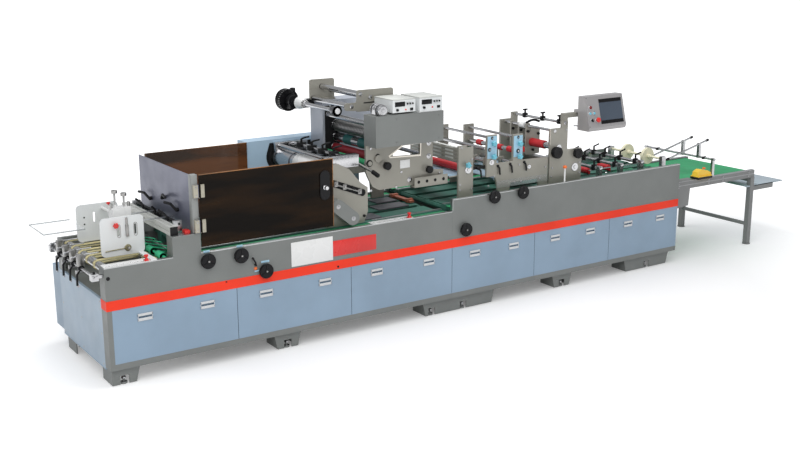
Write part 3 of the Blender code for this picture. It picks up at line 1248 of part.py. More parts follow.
def cross_frame(name, start, outline, rods, extra=()):
    """Two matching side plates on the bed's beams, tied by rods across the machine."""
    foot = DELIVERY_BED + GAP
    plates = [outline_plate(placed(outline, start, foot), span) for span in (NEAR_PLATE, FAR_PLATE)]
    span = (NEAR_PLATE[1] - WELD, FAR_PLATE[0] + WELD)
    ties = [bar("Y", (start + along, DELIVERY_BED + up), span, radius, sides=12)
            for along, up, radius in rods]
    return part(name, "plate_warm", [*plates, *ties, *extra])


def crease_unit():
    """The creasing unit with its ribbed cross beam, roller and tray."""
    across = (NEAR_PLATE[1] - WELD, FAR_PLATE[0] + WELD)
    start, end = (CREASE_START + place for place in CREASE_BEAM)
    bottom = DELIVERY_BED + CREASE_BEAM_RISE
    tray = DELIVERY_BED + CREASE_TRAY_RISE
    extra = [box((start, end), across, (bottom, bottom + CREASE_BEAM_HEIGHT)),
             box([CREASE_START + place for place in CREASE_TRAY], across, (tray, tray + CREASE_TRAY_SHEET))]
    pitch = CREASE_BEAM_HEIGHT / CREASE_RIB_COUNT
    for index in range(CREASE_RIB_COUNT):
        rib = bottom + pitch * (index + 0.25)
        extra.append(box((start - CREASE_RIB_DEPTH, start + WELD), across, (rib, rib + pitch / 2)))
    cross_frame("crease_unit", CREASE_START, CREASE_OUTLINE, (CREASE_ROLLER,), extra)


def delivery_frame():
    """The last frame over the bed, with its knobs and the arm that carries the control box."""
    near = NEAR_PLATE[0]
    knobs = [knob((FRAME_START + along, DELIVERY_BED + up), near, radius, reach)
             for along, up, radius, reach in FRAME_KNOBS]
    post = [FRAME_START + place for place in POST_PLACE]
    post_ys = (near, near + POST_WIDTH)
    arm_end = FRAME_START + CONTROL_PLACE + CONTROL_LUG + 2 * ARM_INSET
    arm_ys = (near + ARM_INSET, near + POST_WIDTH - ARM_INSET)
    extra = [*knobs,
             box(post, post_ys, (DELIVERY_BED + POST_RISE, ARM_TOP)),
             box((post[0], arm_end), arm_ys, (ARM_TOP - ARM_HEIGHT, ARM_TOP))]
    rods = (*FRAME_RODS, CARRIAGE_ROD, CARRIAGE_TUBE)
    cross_frame("delivery_frame", FRAME_START, FRAME_OUTLINE, rods, extra)


def rear_carriage():
    """The far carriage that hangs on the frame's rod and tube."""
    outline = rounded(placed(CARRIAGE_OUTLINE, FRAME_START, DELIVERY_BED), CARRIAGE_SHEET, 2)
    plates = [(UNIT_FAR + place, UNIT_FAR + place + CARRIAGE_SHEET) for place in CARRIAGE_PLATES]
    shapes = [outline_plate(outline, span) for span in plates]
    across = (plates[0][0] - CARRIAGE_SHEET / 2, plates[-1][1] + CARRIAGE_SHEET / 2)
    strap_top = DELIVERY_BED + CARRIAGE_OUTLINE[3][1] + GAP * 2
    shapes.append(box([FRAME_START + place for place in CARRIAGE_STRAP], across,
                      (strap_top - CARRIAGE_STRAP_HEIGHT, strap_top)))
    cuts = []
    for along, up, radius in (CARRIAGE_ROD, CARRIAGE_TUBE):
        cuts.append(bar("Y", (FRAME_START + along, DELIVERY_BED + up), (across[0] - WELD, across[1] + WELD),
                        radius + CARRIAGE_SLIP, sides=12))
    part("rear_carriage", "aluminium", shapes, cuts)


def build_delivery_units():
    crease_unit()
    cross_frame("fold_unit", FOLD_START, FOLD_OUTLINE, FOLD_RODS)
    delivery_frame()
    rear_carriage()


def build_press():
    """Press bars over the bed and the two soft press wheels at the body's end."""
    foot = DELIVERY_BED + GAP
    first = FRAME_START + FRAME_LENGTH + PRESS_START
    last = BODY_END - PRESS_END
    wheel_x = BODY_END - WHEEL_BEFORE_END
    rise = DELIVERY_BED + PRESS_RISE
    beams = (BED_BEAM_NEAR + PRESS_BLOCK_INSET, BED_BEAM_FAR + PRESS_BLOCK_INSET)
    half = PRESS_BLOCK / 2
    span = (BED_BEAM_NEAR - WELD, BED_BEAM_FAR + BED_BEAM_WIDTH)
    bars = []
    for index in range(PRESS_BAR_COUNT):
        x = first + (last - first) * index / (PRESS_BAR_COUNT - 1)
        bars.append(bar("Y", (x, rise), span, PRESS_BAR_RADIUS, sides=10))
        for y in beams:
            bars.append(box((x - half, x + half), (y, y + PRESS_BLOCK), (foot, rise + PRESS_BLOCK_TOP)))
    post_end = wheel_x + WHEEL_POST / 2
    post_top = rise + PRESS_BLOCK_TOP + PRESS_BLOCK_INSET
    posts = ((beams[0] + PRESS_BLOCK_INSET, beams[0] + PRESS_BLOCK),
             (BED_BEAM_FAR, BED_BEAM_FAR + PRESS_BLOCK))
    for y, ys in zip(beams, posts):
        rail = (y + WELD, y + WELD + PRESS_RAIL_WIDTH)
        bars.append(box((first - half, post_end), rail, (foot, foot + PRESS_RAIL_HEIGHT)))
        bars.append(box((wheel_x - WHEEL_POST / 2, post_end), ys, (foot, post_top)))
    part("press_bars", "aluminium", bars)
    wheels = [bar("Y", (wheel_x, rise), (posts[0][1] + GAP, posts[1][0] - GAP), WHEEL_SHAFT_RADIUS, sides=12)]
    middle = (posts[0][1] + posts[1][0]) / 2
    edge = WHEEL_WIDTH / 5
    for place in WHEEL_PLACES:
        y = middle + place
        end = y + WHEEL_WIDTH
        profile = ((y - WHEEL_WIDTH, WHEEL_HUB_RADIUS), (y, WHEEL_HUB_RADIUS), (y, WHEEL_RADIUS - edge),
                   (y + edge, WHEEL_RADIUS), (end - edge, WHEEL_RADIUS), (end, WHEEL_RADIUS - edge))
        wheels.append(turned("Y", (wheel_x, rise), profile, 20))
    part("press_wheels", "cream", wheels, origin=(wheel_x, middle, rise))


def build_control_box():
    """The operator's control box on a swivel lug over its arm, with its tilted face and sunk screen."""
    start = FRAME_START + CONTROL_PLACE
    end = start + CONTROL_WIDTH
    back = UNIT_NEAR - CONTROL_BACK
    bottom = ARM_TOP - CONTROL_DROP
    top = bottom + CONTROL_HEIGHT
    front = back - CONTROL_DEPTH_BOTTOM
    chamfer = CONTROL_CHAMFER
    outline = [(front, bottom + chamfer), (front + chamfer / 3, bottom), (back, bottom), (back, top),
               (back - CONTROL_DEPTH_TOP, top)]
    pivot = (start + CONTROL_PIVOT, NEAR_PLATE[0] + POST_WIDTH / 2)
    lean = (CONTROL_DEPTH_BOTTOM - CONTROL_DEPTH_TOP) / (CONTROL_HEIGHT - chamfer)
    low = bottom + SCREEN_RISE
    high = low + SCREEN_HEIGHT
    face_low = front + lean * (low - bottom - chamfer)
    face_high = front + lean * (high - bottom - chamfer)
    screen = outline_plate([(face_low - SCREEN_SINK, low), (face_low + SCREEN_SINK, low),
                            (face_high + SCREEN_SINK, high), (face_high - SCREEN_SINK, high)],
                           (end - SCREEN_INSET - SCREEN_WIDTH, end - SCREEN_INSET), "YZ")
    lug_start = start + ARM_INSET
    part("control_box", "aluminium", [
        outline_plate(outline, (start, end), "YZ"),
        box((lug_start, lug_start + CONTROL_LUG), (back - WELD, pivot[1] + ARM_INSET * 2),
            (ARM_TOP + GAP, ARM_TOP + CONTROL_LUG_HEIGHT)),
    ], [screen], origin=(pivot[0], pivot[1], ARM_TOP + CONTROL_LUG_HEIGHT / 2))


def belt_stand(start, end, near, far):
    """The conveyor's rails, brackets on the body, drums, legs with round feet, and the tray's rails."""
    zs = (BELT_RAIL_TOP - BELT_RAIL_HEIGHT, BELT_RAIL_TOP)
    leg_start = end - BELT_LEG
    bracket = placed(BRACKET_OUTLINE, start, BELT_RAIL_TOP)
    crossbar = (end - STAND_BAR * 4 / 3, end - STAND_BAR / 3)
    shapes = []
    for ys in (near, far):
        foot_y = (ys[0] + ys[1]) / 2
        shapes.append(box((start, end), ys, zs))
        shapes.append(outline_plate(bracket, ys))
        shapes.append(box((leg_start, end), (ys[0] - BELT_LEG_SPREAD, ys[1] + BELT_LEG_SPREAD),
                          (FOOT_HEIGHT - WELD, zs[0] + WELD)))
        shapes.append(turned("Z", ((leg_start + end) / 2, foot_y), (
            (0.0, FOOT_RADIUS), (FOOT_HEIGHT / 2, FOOT_RADIUS), (FOOT_HEIGHT, FOOT_RADIUS * 0.6)), 16))
        shapes.append(box((end - WELD, end + TRAY_REACH - TRAY_RAIL_SHORT), ys,
                          (TRAY_RISE - TRAY_RAIL_HEIGHT, TRAY_RISE - GAP)))
    for rise in (LOW_BAR_RISE, HIGH_BAR_RISE):
        shapes.append(box(crossbar, (near[1] - WELD, far[0] + WELD), (rise, rise + STAND_BAR)))
    drum_rise = BELT_RAIL_TOP - BELT_DRUM_DROP
    for x in (start + BELT_DRUM_INSET, end - BELT_DRUM_INSET):
        shapes.append(bar("Y", (x, drum_rise), (near[1] - WELD, far[0] + WELD), BELT_DRUM_RADIUS, sides=16))
    part("belt_stand", "stand_grey", shapes)


def stop_bar(near, far):
    """The bar across the belt on two posts, with the inclined rods that hold the cartons down."""
    x = BODY_END + STOP_PLACE
    rise = BELT_RAIL_TOP + STOP_RISE
    edge = (BELT_RAIL_WIDTH - STOP_POST_WIDTH) / 2
    shapes = [bar("Y", (x, rise), (near[0] - edge, far[1] + edge), STOP_RADIUS, sides=12)]
    for ys in (near, far):
        shapes.append(box((x - STOP_POST / 2, x + STOP_POST / 2), (ys[0] + edge, ys[1] - edge),
                          (BELT_RAIL_TOP + GAP, rise + STOP_RADIUS)))
    for place in STOP_ROD_PLACES:
        y = near[0] + place
        crossing = rise + STOP_ROD_LIFT
        low_end = (x - STOP_ROD_BACK, y, crossing - STOP_ROD_SLOPE * STOP_ROD_BACK)
        high_end = (x + STOP_ROD_FRONT, y, crossing + STOP_ROD_SLOPE * STOP_ROD_FRONT)
        shapes.append(rod(low_end, high_end, STOP_ROD_RADIUS, 10))
        shapes.append(box((x - STOP_POST / 2, x + STOP_POST / 2), (y - STOP_POST / 2, y + STOP_POST / 2),
                          (rise - STOP_RADIUS, crossing + STOP_ROD_RADIUS)))
    part("stop_bar", "aluminium", shapes)


def build_delivery_belt():
    """The belt conveyor behind the body, its stand, tray, stop bar and foot switch."""
    start = BODY_END + GAP
    end = start + BELT_LENGTH
    near = (BELT_INSET, BELT_INSET + BELT_RAIL_WIDTH)
    far = (BODY_DEPTH - near[1], BODY_DEPTH - near[0])
    belt_stand(start, end, near, far)
    drum_rise = BELT_RAIL_TOP - BELT_DRUM_DROP
    ends = ((start + BELT_DRUM_INSET, drum_rise), (end - BELT_DRUM_INSET, drum_rise))
    outer = slot_of(*ends, BELT_DRUM_RADIUS + GAP + BELT_THICKNESS)
    inside = slot_of(*ends, BELT_DRUM_RADIUS + GAP)
    belt_ys = (near[1] + BELT_SIDE_CLEARANCE, far[0] - BELT_SIDE_CLEARANCE)
    part("delivery_belt", "belt_green", [outline_plate(outer, belt_ys, holes=(inside,))])
    slip = BELT_LEG_SPREAD + TRAY_SLIP
    part("tray", "cover_blue",
         [box((end - TRAY_START_REACH, end + TRAY_REACH), (near[0], far[1]),
              (TRAY_RISE, TRAY_RISE + TRAY_SHEET))],
         [box((end - BELT_LEG - TRAY_SLIP, end + TRAY_SLIP), (ys[0] - slip, ys[1] + slip),
              (TRAY_RISE - TRAY_SHEET, TRAY_RISE + 2 * TRAY_SHEET)) for ys in (near, far)])
    stop_bar(near, far)
    foot = BELT_RAIL_TOP + GAP
    switch = BODY_END + SWITCH_PLACE
    hood = (near[0] - SWITCH_BASE / 2, near[1] + SWITCH_BASE / 2)
    part("foot_switch", "yellow", [
        box((switch, switch + SWITCH_LENGTH), (near[0] - SWITCH_BASE, near[1] + SWITCH_BASE),
            (foot, foot + SWITCH_BASE)),
        outline_plate(placed(SWITCH_OUTLINE, switch, foot), hood)])


def centre_on_floor():
    """Moves the empty so that the middle of the footprint is at the world's origin."""
    bpy.context.view_layer.update()
    corners = [item.matrix_world @ vertex.co for item in machine_parts.objects if item.type == "MESH"
               for vertex in item.data.vertices]
    for axis in (0, 1):
        values = [corner[axis] for corner in corners]
        machine.location[axis] = -(min(values) + max(values)) / 2
    machine.location[2] = -min(corner[2] for corner in corners)


clear_objects()
machine_parts = bpy.data.collections.new("window_patching_machine")
workbench = bpy.data.collections.new("workbench")
bpy.context.scene.collection.children.link(machine_parts)
bpy.context.scene.collection.children.link(workbench)
machine = bpy.data.objects.new("machine_origin", None)
machine_parts.objects.link(machine)

build_body()
build_feeder()
build_guard()
build_patching()
build_tower()
build_beds()
build_delivery_units()
build_press()
build_control_box()
build_delivery_belt()
centre_on_floor()
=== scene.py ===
"""Looks of the window patching machine: paints, metals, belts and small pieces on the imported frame."""
import json
import math

import bmesh
import bpy
from mathutils import Matrix, Vector


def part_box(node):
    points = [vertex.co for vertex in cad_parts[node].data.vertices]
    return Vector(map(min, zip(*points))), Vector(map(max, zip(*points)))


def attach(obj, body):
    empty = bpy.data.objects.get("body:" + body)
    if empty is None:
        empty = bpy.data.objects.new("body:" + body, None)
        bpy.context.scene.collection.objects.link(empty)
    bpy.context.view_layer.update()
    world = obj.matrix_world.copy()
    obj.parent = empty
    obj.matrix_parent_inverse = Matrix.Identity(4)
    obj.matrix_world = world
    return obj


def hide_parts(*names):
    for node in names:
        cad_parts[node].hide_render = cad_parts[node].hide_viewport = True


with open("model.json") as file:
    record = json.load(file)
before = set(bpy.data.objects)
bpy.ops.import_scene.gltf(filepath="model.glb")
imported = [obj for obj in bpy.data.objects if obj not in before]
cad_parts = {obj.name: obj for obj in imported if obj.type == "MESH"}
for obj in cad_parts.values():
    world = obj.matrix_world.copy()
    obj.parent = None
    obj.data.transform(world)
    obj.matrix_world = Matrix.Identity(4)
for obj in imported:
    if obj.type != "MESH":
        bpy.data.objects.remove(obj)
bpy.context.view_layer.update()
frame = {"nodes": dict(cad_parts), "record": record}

NODES = frame["nodes"]

# The machine's own corner: infeed end, operator's side, floor
CORNER = Vector((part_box("cabinet_infeed")[0].x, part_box("cabinet_infeed")[0].y, 0.0))

# Camera, from the straight edges of the photograph, measured from the machine's corner
CAMERA_PLACE = Vector((-2.317, -6.976, 2.929))
CAMERA_YAW = 33.900
CAMERA_DROP = 14.122
CAMERA_ROLL = -0.171
CAMERA_LENS = 50.0
CAMERA_REACH = 100.0


def at(x, y, z):
    """A point measured from the machine's corner."""
    return CORNER + Vector((x, y, z))


# Materials


def blank_material(name):
    """A new material, its node tree and its shader."""
    material = bpy.data.materials.new(name)
    material.use_nodes = True
    tree = material.node_tree
    shader = tree.nodes["Principled BSDF"]
    return material, tree, shader


def add_node(tree, kind, **values):
    """Adds a node and sets its plain properties."""
    node = tree.nodes.new(kind)
    for key, value in values.items():
        setattr(node, key, value)
    return node


def noise(tree, scale, detail=3.0, stretch=(1.0, 1.0, 1.0)):
    """Noise on Object coordinates, stretched along the axes."""
    place = add_node(tree, "ShaderNodeTexCoord")
    mapping = add_node(tree, "ShaderNodeMapping")
    mapping.inputs["Scale"].default_value = stretch
    field = add_node(tree, "ShaderNodeTexNoise")
    field.inputs["Scale"].default_value = scale
    field.inputs["Detail"].default_value = detail
    tree.links.new(place.outputs["Object"], mapping.inputs["Vector"])
    tree.links.new(mapping.outputs["Vector"], field.inputs["Vector"])
    return field.outputs["Fac"]


def spread(tree, field, low, high):
    """Maps a field from its middle range to the two values."""
    ramp = add_node(tree, "ShaderNodeMapRange")
    ramp.inputs["From Min"].default_value = 0.35
    ramp.inputs["From Max"].default_value = 0.65
    ramp.inputs["To Min"].default_value = low
    ramp.inputs["To Max"].default_value = high
    tree.links.new(field, ramp.inputs["Value"])
    return ramp.outputs["Result"]


def tinted(tree, field, first, second):
    """A colour that moves between two near tones with the field."""
    mix = add_node(tree, "ShaderNodeMix", data_type="RGBA")
    mix.inputs["A"].default_value = (*first, 1.0)
    mix.inputs["B"].default_value = (*second, 1.0)
    tree.links.new(field, mix.inputs["Factor"])
    return mix.outputs["Result"]


def raise_bump(tree, shader, field, strength, distance):
    """Lets the field raise the surface a little, in the shading alone."""
    bump = add_node(tree, "ShaderNodeBump")
    bump.inputs["Strength"].default_value = strength
    bump.inputs["Distance"].default_value = distance
    tree.links.new(field, bump.inputs["Height"])
    tree.links.new(bump.outputs["Normal"], shader.inputs["Normal"])


def enamel(name, colour, roughness, depth=0.06, metallic=0.0, grain=900.0, shine=0.5):
    """Sprayed enamel: slow tone change, fine orange peel, uneven gloss."""
    material, tree, shader = blank_material(name)
    darker = [value * (1.0 - depth) for value in colour]
    lighter = [min(1.0, value * (1.0 + depth)) for value in colour]
    cloud = spread(tree, noise(tree, 2.6, 4.0), 0.0, 1.0)
    tree.links.new(tinted(tree, cloud, darker, lighter), shader.inputs["Base Color"])
    gloss = spread(tree, noise(tree, 9.0, 2.0), roughness - 0.04, roughness + 0.05)
    tree.links.new(gloss, shader.inputs["Roughness"])
    shader.inputs["Metallic"].default_value = metallic
    shader.inputs["Specular IOR Level"].default_value = shine
    raise_bump(tree, shader, noise(tree, grain, 2.0), 0.12, 0.0006)
    return material


def ground_metal(name, colour, roughness, stretch, grain=60.0):
    """Ground or brushed bright metal, with its lines along one axis."""
    material, tree, shader = blank_material(name)
    lines = noise(tree, grain, 4.0, stretch)
    darker = [value * 0.86 for value in colour]
    tone = tinted(tree, spread(tree, lines, 0.0, 1.0), darker, colour)
    tree.links.new(tone, shader.inputs["Base Color"])
    tree.links.new(spread(tree, lines, roughness - 0.05, roughness + 0.09), shader.inputs["Roughness"])
    shader.inputs["Metallic"].default_value = 1.0
    raise_bump(tree, shader, lines, 0.10, 0.0004)
    return material


# Stretch of the noise that turns it into grinding lines across or along the machine, or leaves it even
ACROSS = (1.0, 0.04, 1.0)
ALONG = (0.04, 1.0, 1.0)
EVEN = (1.0, 1.0, 1.0)

BODY_PAINT = enamel("body_paint", (0.190, 0.200, 0.192), 0.42)
DOOR_PAINT = enamel("door_paint", (0.262, 0.362, 0.470), 0.38)
COVER_PAINT = enamel("cover_paint", (0.350, 0.450, 0.550), 0.38)
STRIPE_PAINT = enamel("stripe_paint", (0.92, 0.048, 0.018), 0.46, shine=0.25)
STAND_PAINT = enamel("stand_paint", (0.085, 0.087, 0.085), 0.50)
UNIT_ENAMEL = enamel("unit_enamel", (0.310, 0.298, 0.258), 0.36, metallic=0.20)
GUARD_ENAMEL = enamel("guard_enamel", (0.135, 0.142, 0.198), 0.34, metallic=0.35)
WHITE_ENAMEL = enamel("white_enamel", (0.78, 0.80, 0.80), 0.34, depth=0.03)
CHROME = ground_metal("chrome_roller", (0.56, 0.56, 0.57), 0.17, ACROSS)
ALUMINIUM = ground_metal("milled_aluminium", (0.52, 0.53, 0.54), 0.33, ACROSS)
GREEN_BELT = enamel("green_belting", (0.052, 0.172, 0.130), 0.58, depth=0.25)
BRIGHT_GREEN = enamel("bright_green_belting", (0.030, 0.380, 0.150), 0.55, depth=0.12)
CREAM_BELT = enamel("cream_belting", (0.760, 0.690, 0.400), 0.60, depth=0.08)
BLACK_RUBBER = enamel("black_rubber", (0.016, 0.016, 0.017), 0.50, shine=0.25)
RED_RUBBER = enamel("red_rubber", (0.55, 0.018, 0.025), 0.45)
BLACK_METAL = enamel("black_metal", (0.012, 0.012, 0.013), 0.42, shine=0.20)
FOAM = enamel("cream_foam", (0.90, 0.86, 0.64), 0.75)
YELLOW_PLASTIC = enamel("yellow_plastic", (0.92, 0.60, 0.05), 0.36)
BLACK_GLOSS = enamel("black_lacquer", (0.008, 0.008, 0.009), 0.30, grain=1600.0, shine=0.18)
SATIN_STEEL = ground_metal("satin_steel", (0.50, 0.50, 0.51), 0.28, ALONG)
EDGE_STEEL = ground_metal("bare_edge", (0.52, 0.535, 0.530), 0.36, ALONG)
ZINC = ground_metal("zinc_screw", (0.46, 0.46, 0.47), 0.30, EVEN, 240.0)
WHITE_GLOSS = enamel("white_gloss", (0.80, 0.80, 0.79), 0.28, depth=0.02, grain=1500.0)
RED_GLOSS = enamel("red_moulding", (0.70, 0.030, 0.025), 0.30, depth=0.08)
ORANGE_PLASTIC = enamel("orange_moulding", (0.85, 0.16, 0.02), 0.32)
PALE_BLUE = enamel("pale_blue_plate", (0.360, 0.580, 0.720), 0.36)
CYAN_PLASTIC = enamel("pale_turquoise_moulding", (0.160, 0.500, 0.620), 0.30)
BELT_EDGE = enamel("belt_edge", (0.620, 0.530, 0.240), 0.60, depth=0.12)
POST_ENAMEL = enamel("post_enamel", (0.27, 0.28, 0.27), 0.38)
HINGE_BEIGE = enamel("hinge_zinc", (0.400, 0.375, 0.300), 0.36, metallic=0.25)
DARK_STEEL = ground_metal("blackened_steel", (0.16, 0.16, 0.17), 0.34, ACROSS)
SCREEN_GLASS = enamel("screen_glass", (0.070, 0.090, 0.120), 0.14, depth=0.08, grain=60.0, shine=0.35)
BOX_STEEL = enamel("box_steel", (0.400, 0.385, 0.385), 0.36, depth=0.03, metallic=0.35)
FAR_COVER_ENAMEL = enamel("far_cover_enamel", (0.410, 0.440, 0.500), 0.36, metallic=0.15)
DULL_BRASS = ground_metal("dull_brass", (0.44, 0.40, 0.26), 0.34, EVEN, 90.0)
DARK_FITTING = ground_metal("grey_fitting", (0.36, 0.355, 0.345), 0.34, EVEN, 120.0)
LIGHT_ENAMEL = enamel("light_enamel", (0.60, 0.61, 0.58), 0.36)
UNIT_EDGE = ground_metal("unit_edge", (0.66, 0.62, 0.55), 0.30, ALONG)
TEAL_RUBBER = enamel("teal_rubber", (0.014, 0.100, 0.098), 0.50)
BELT_GREEN_EDGE = enamel("green_belt_edge", (0.008, 0.090, 0.045), 0.60)
DARK_RED = enamel("dark_red_moulding", (0.200, 0.012, 0.012), 0.30)
TABLE_BLUE = enamel("table_blue", (0.300, 0.420, 0.520), 0.34)
PULL_WHITE = enamel("pull_plate", (0.640, 0.650, 0.650), 0.34, depth=0.04, metallic=0.10)
# Black for the shade inside openings, slots, holes and behind rollers: painted shade.
PAINTED_SHADE_DARK = enamel("painted_shade_dark", (0.012, 0.012, 0.013), 0.60, shine=0.15)
# Green of the feed shaft's sleeves and the transfer belts, brightened as painted light against the
# crossbeam's shade.
LIT_SLEEVE_GREEN = enamel("sleeve_green_painted_light", (0.035, 0.500, 0.240), 0.52, depth=0.12)
GEAR_COVER_PAINT = enamel("gear_cover_paint", (0.400, 0.540, 0.670), 0.38)
# The red roller's red rubber, darkened as painted shade among the tower's rollers.
SHADED_RED_RUBBER = enamel("shaded_red_rubber", (0.220, 0.012, 0.020), 0.42)
BELT_STAND_GREY = enamel("belt_stand_grey", (0.225, 0.228, 0.226), 0.46)
DECK_GREY = enamel("deck_grey", (0.120, 0.122, 0.135), 0.46)
TRAY_ENAMEL = enamel("tray_enamel", (0.500, 0.590, 0.650), 0.34)
CLAY_ENAMEL = enamel("clay_enamel", (0.420, 0.130, 0.075), 0.40, depth=0.15)


def smoked_sheet(name, colour, alpha, reflection_lift=(4.2, 2.9, 1.6)):
    """Acrylic sheet: glossy and slightly see-through, its own tint lightened in slow patches as painted
    reflection and painted light shining through.
    """
    material, tree, shader = blank_material(name)
    painted_reflection = spread(tree, noise(tree, 1.6, 5.0, (0.7, 1.0, 4.5)), -0.35, 1.0)
    lighter = [min(1.0, value * amber) for value, amber in zip(colour, reflection_lift)]
    tree.links.new(tinted(tree, painted_reflection, colour, lighter), shader.inputs["Base Color"])
    shader.inputs["Roughness"].default_value = 0.10
    shader.inputs["Specular IOR Level"].default_value = 0.07
    shader.inputs["Alpha"].default_value = alpha
    return material


SMOKED_DOOR = smoked_sheet("smoked_door", (0.0058, 0.0042, 0.0030), 0.97)
AMBER_PANEL = smoked_sheet("amber_panel", (0.036, 0.018, 0.009), 0.88)
AMBER_EDGE = smoked_sheet("amber_edge", (0.130, 0.085, 0.055), 0.96)
CLEAR_SHEET = smoked_sheet("clear_sheet", (0.680, 0.710, 0.730), 0.18, (1.15, 1.15, 1.15))
CLEAR_EDGE = smoked_sheet("clear_edge", (0.480, 0.510, 0.520), 0.70, (1.15, 1.15, 1.15))

FINISHES = {
    "body_paint": BODY_PAINT, "door_paint": DOOR_PAINT, "cover_paint": COVER_PAINT,
    "stripe_paint": STRIPE_PAINT, "stand_paint": STAND_PAINT, "unit_plate": UNIT_ENAMEL,
    "guard_paint": GUARD_ENAMEL, "white_plate": WHITE_ENAMEL, "bright_steel": CHROME,
    "machined_aluminium": ALUMINIUM, "green_belt": GREEN_BELT, "cream_belt": CREAM_BELT,
    "black_rubber": BLACK_RUBBER, "red_rubber": RED_RUBBER, "black_metal": BLACK_METAL,
    "smoked_sheet": SMOKED_DOOR, "clear_sheet": CLEAR_SHEET, "foam_cream": FOAM,
    "switch_plastic": YELLOW_PLASTIC,
}
OWN_FINISHES = {
    "guard_panel": AMBER_PANEL, "feed_shaft": LIT_SLEEVE_GREEN, "delivery_belt": BRIGHT_GREEN,
    "tower_cover_far": FAR_COVER_ENAMEL, "control_box": BOX_STEEL, "feed_gate": WHITE_GLOSS,
    "upper_nip_roller": DARK_STEEL, "backstop": SATIN_STEEL, "press_bars": SATIN_STEEL,
    "stop_bar": SATIN_STEEL, "green_roller": BRIGHT_GREEN, "gear_cover": GEAR_COVER_PAINT,
    "crossbeam": LIGHT_ENAMEL, "rear_carriage": UNIT_ENAMEL, "red_roller": SHADED_RED_RUBBER,
    "belt_stand": BELT_STAND_GREY,
}


def dress_nodes():
    """Gives each node of the frame its finish."""
    for piece in frame["record"]["subparts"]:
        node = NODES[piece["node"]]
        node.data.materials.clear()
        node.data.materials.append(OWN_FINISHES.get(piece["node"], FINISHES[piece["material_slot"]]))


# Shapes

# Degrees from which an edge shows sharp
SHARP_FROM = 32.0

# Directions of turned pieces: towards the operator, away from there, and up
OUTWARD = (0.0, -1.0, 0.0)
AWAY = (0.0, 1.0, 0.0)
UPWARD = (0.0, 0.0, 1.0)


def lump():
    """An empty bmesh, to be filled with shapes."""
    return bmesh.new()


def block(mesh, low, high, bevel=0.0):
    """A box between two corners, with its edges eased."""
    low, high = Vector(low), Vector(high)
    made = bmesh.ops.create_cube(mesh, size=1.0)["verts"]
    bmesh.ops.scale(mesh, vec=high - low, verts=made)
    bmesh.ops.translate(mesh, vec=(low + high) / 2, verts=made)
    if bevel:
        edges = list({edge for vert in made for edge in vert.link_edges})
        bmesh.ops.bevel(mesh, geom=edges, offset=bevel, segments=2, affect="EDGES", profile=0.5)


def lathe(mesh, centre, direction, profile, sides=24):
    """Turns (along, radius) points about an axis through centre."""
    turn = Vector(direction).to_track_quat("Z", "Y").to_matrix().to_4x4()
    place = Matrix.Translation(Vector(centre)) @ turn
    rings = []
    for along, radius in profile:
        if radius < 1e-6:
            rings.append([mesh.verts.new(place @ Vector((0.0, 0.0, along)))])
            continue
        angles = [math.tau * step / sides for step in range(sides)]
        spots = [(radius * math.cos(angle), radius * math.sin(angle), along) for angle in angles]
        rings.append([mesh.verts.new(place @ Vector(spot)) for spot in spots])
    for low, high in zip(rings, rings[1:]):
        for step in range(sides):
            after = (step + 1) % sides
            if len(low) == 1:
                mesh.faces.new((low[0], high[after], high[step]))
            elif len(high) == 1:
                mesh.faces.new((low[step], low[after], high[0]))
            else:
                mesh.faces.new((low[step], low[after], high[after], high[step]))
    for ring, flip in ((rings[0], True), (rings[-1], False)):
        if len(ring) > 1:
            mesh.faces.new(list(reversed(ring)) if flip else ring)


def rod(mesh, start, end, radius, sides=12):
    """A round rod between two points, with eased ends."""
    direction = Vector(end) - Vector(start)
    length = direction.length
    ease = min(radius * 0.3, length * 0.2)
    lathe(mesh, start, direction,
          ((0.0, radius - ease), (ease, radius), (length - ease, radius), (length, radius - ease)), sides)


def path_rod(mesh, points, radius, sides=8):
    """Rods joined end to end along points, with a ball at each bend."""
    for start, end in zip(points, points[1:]):
        rod(mesh, start, end, radius, sides)
    for point in points[1:-1]:
        ball = bmesh.ops.create_icosphere(mesh, subdivisions=2, radius=radius * 1.02)["verts"]
        bmesh.ops.translate(mesh, vec=Vector(point), verts=ball)


def plate(mesh, outline, normal_axis, low, high):
    """A flat outline given on the two other axes, with its thickness between low and high."""
    def lift(point, depth):
        """The outline's point with its depth put in on the third axis."""
        values = list(point)
        values.insert("XYZ".index(normal_axis), depth)
        return Vector(values)
    bottom = [mesh.verts.new(lift(point, low)) for point in outline]
    top = [mesh.verts.new(lift(point, high)) for point in outline]
    mesh.faces.new(bottom)
    mesh.faces.new(list(reversed(top)))
    for index in range(len(outline)):
        after = (index + 1) % len(outline)
        mesh.faces.new((bottom[index], top[index], top[after], bottom[after]))


def ring_points(centre, radius, start, end, steps):
    """Points of an arc from one angle to another, in degrees, both ends included."""
    angles = [math.radians(start + (end - start) * step / steps) for step in range(steps + 1)]
    return [(centre[0] + radius * math.cos(angle), centre[1] + radius * math.sin(angle)) for angle in angles]


def star_knob(mesh, centre, direction, radius, height, lobes=6):
    """A lobed clamping knob on a stem."""
    turn = Vector(direction).to_track_quat("Z", "Y").to_matrix().to_4x4()
    place = Matrix.Translation(Vector(centre)) @ turn
    steps = lobes * 6
    rings = []
    for rise, share in ((0.35, 0.80), (0.45, 1.0), (0.85, 1.0), (1.0, 0.82)):
        ring = []
        for step in range(steps):
            angle = math.tau * step / steps
            reach = radius * share * (0.86 + 0.14 * math.cos(lobes * angle))
            ring.append(mesh.verts.new(place @ Vector((reach * math.cos(angle), reach * math.sin(angle),
                                                       height * rise))))
        rings.append(ring)
    for low, high in zip(rings, rings[1:]):
        for step in range(steps):
            after = (step + 1) % steps
            mesh.faces.new((low[step], low[after], high[after], high[step]))
    mesh.faces.new(list(reversed(rings[0])))
    mesh.faces.new(rings[-1])
    rod(mesh, centre, place @ Vector((0.0, 0.0, height * 0.5)), radius * 0.35, 10)


def across(axis, y):
    """A point on an axis given along and up, at a place across the machine."""
    return axis[0], y, axis[1]


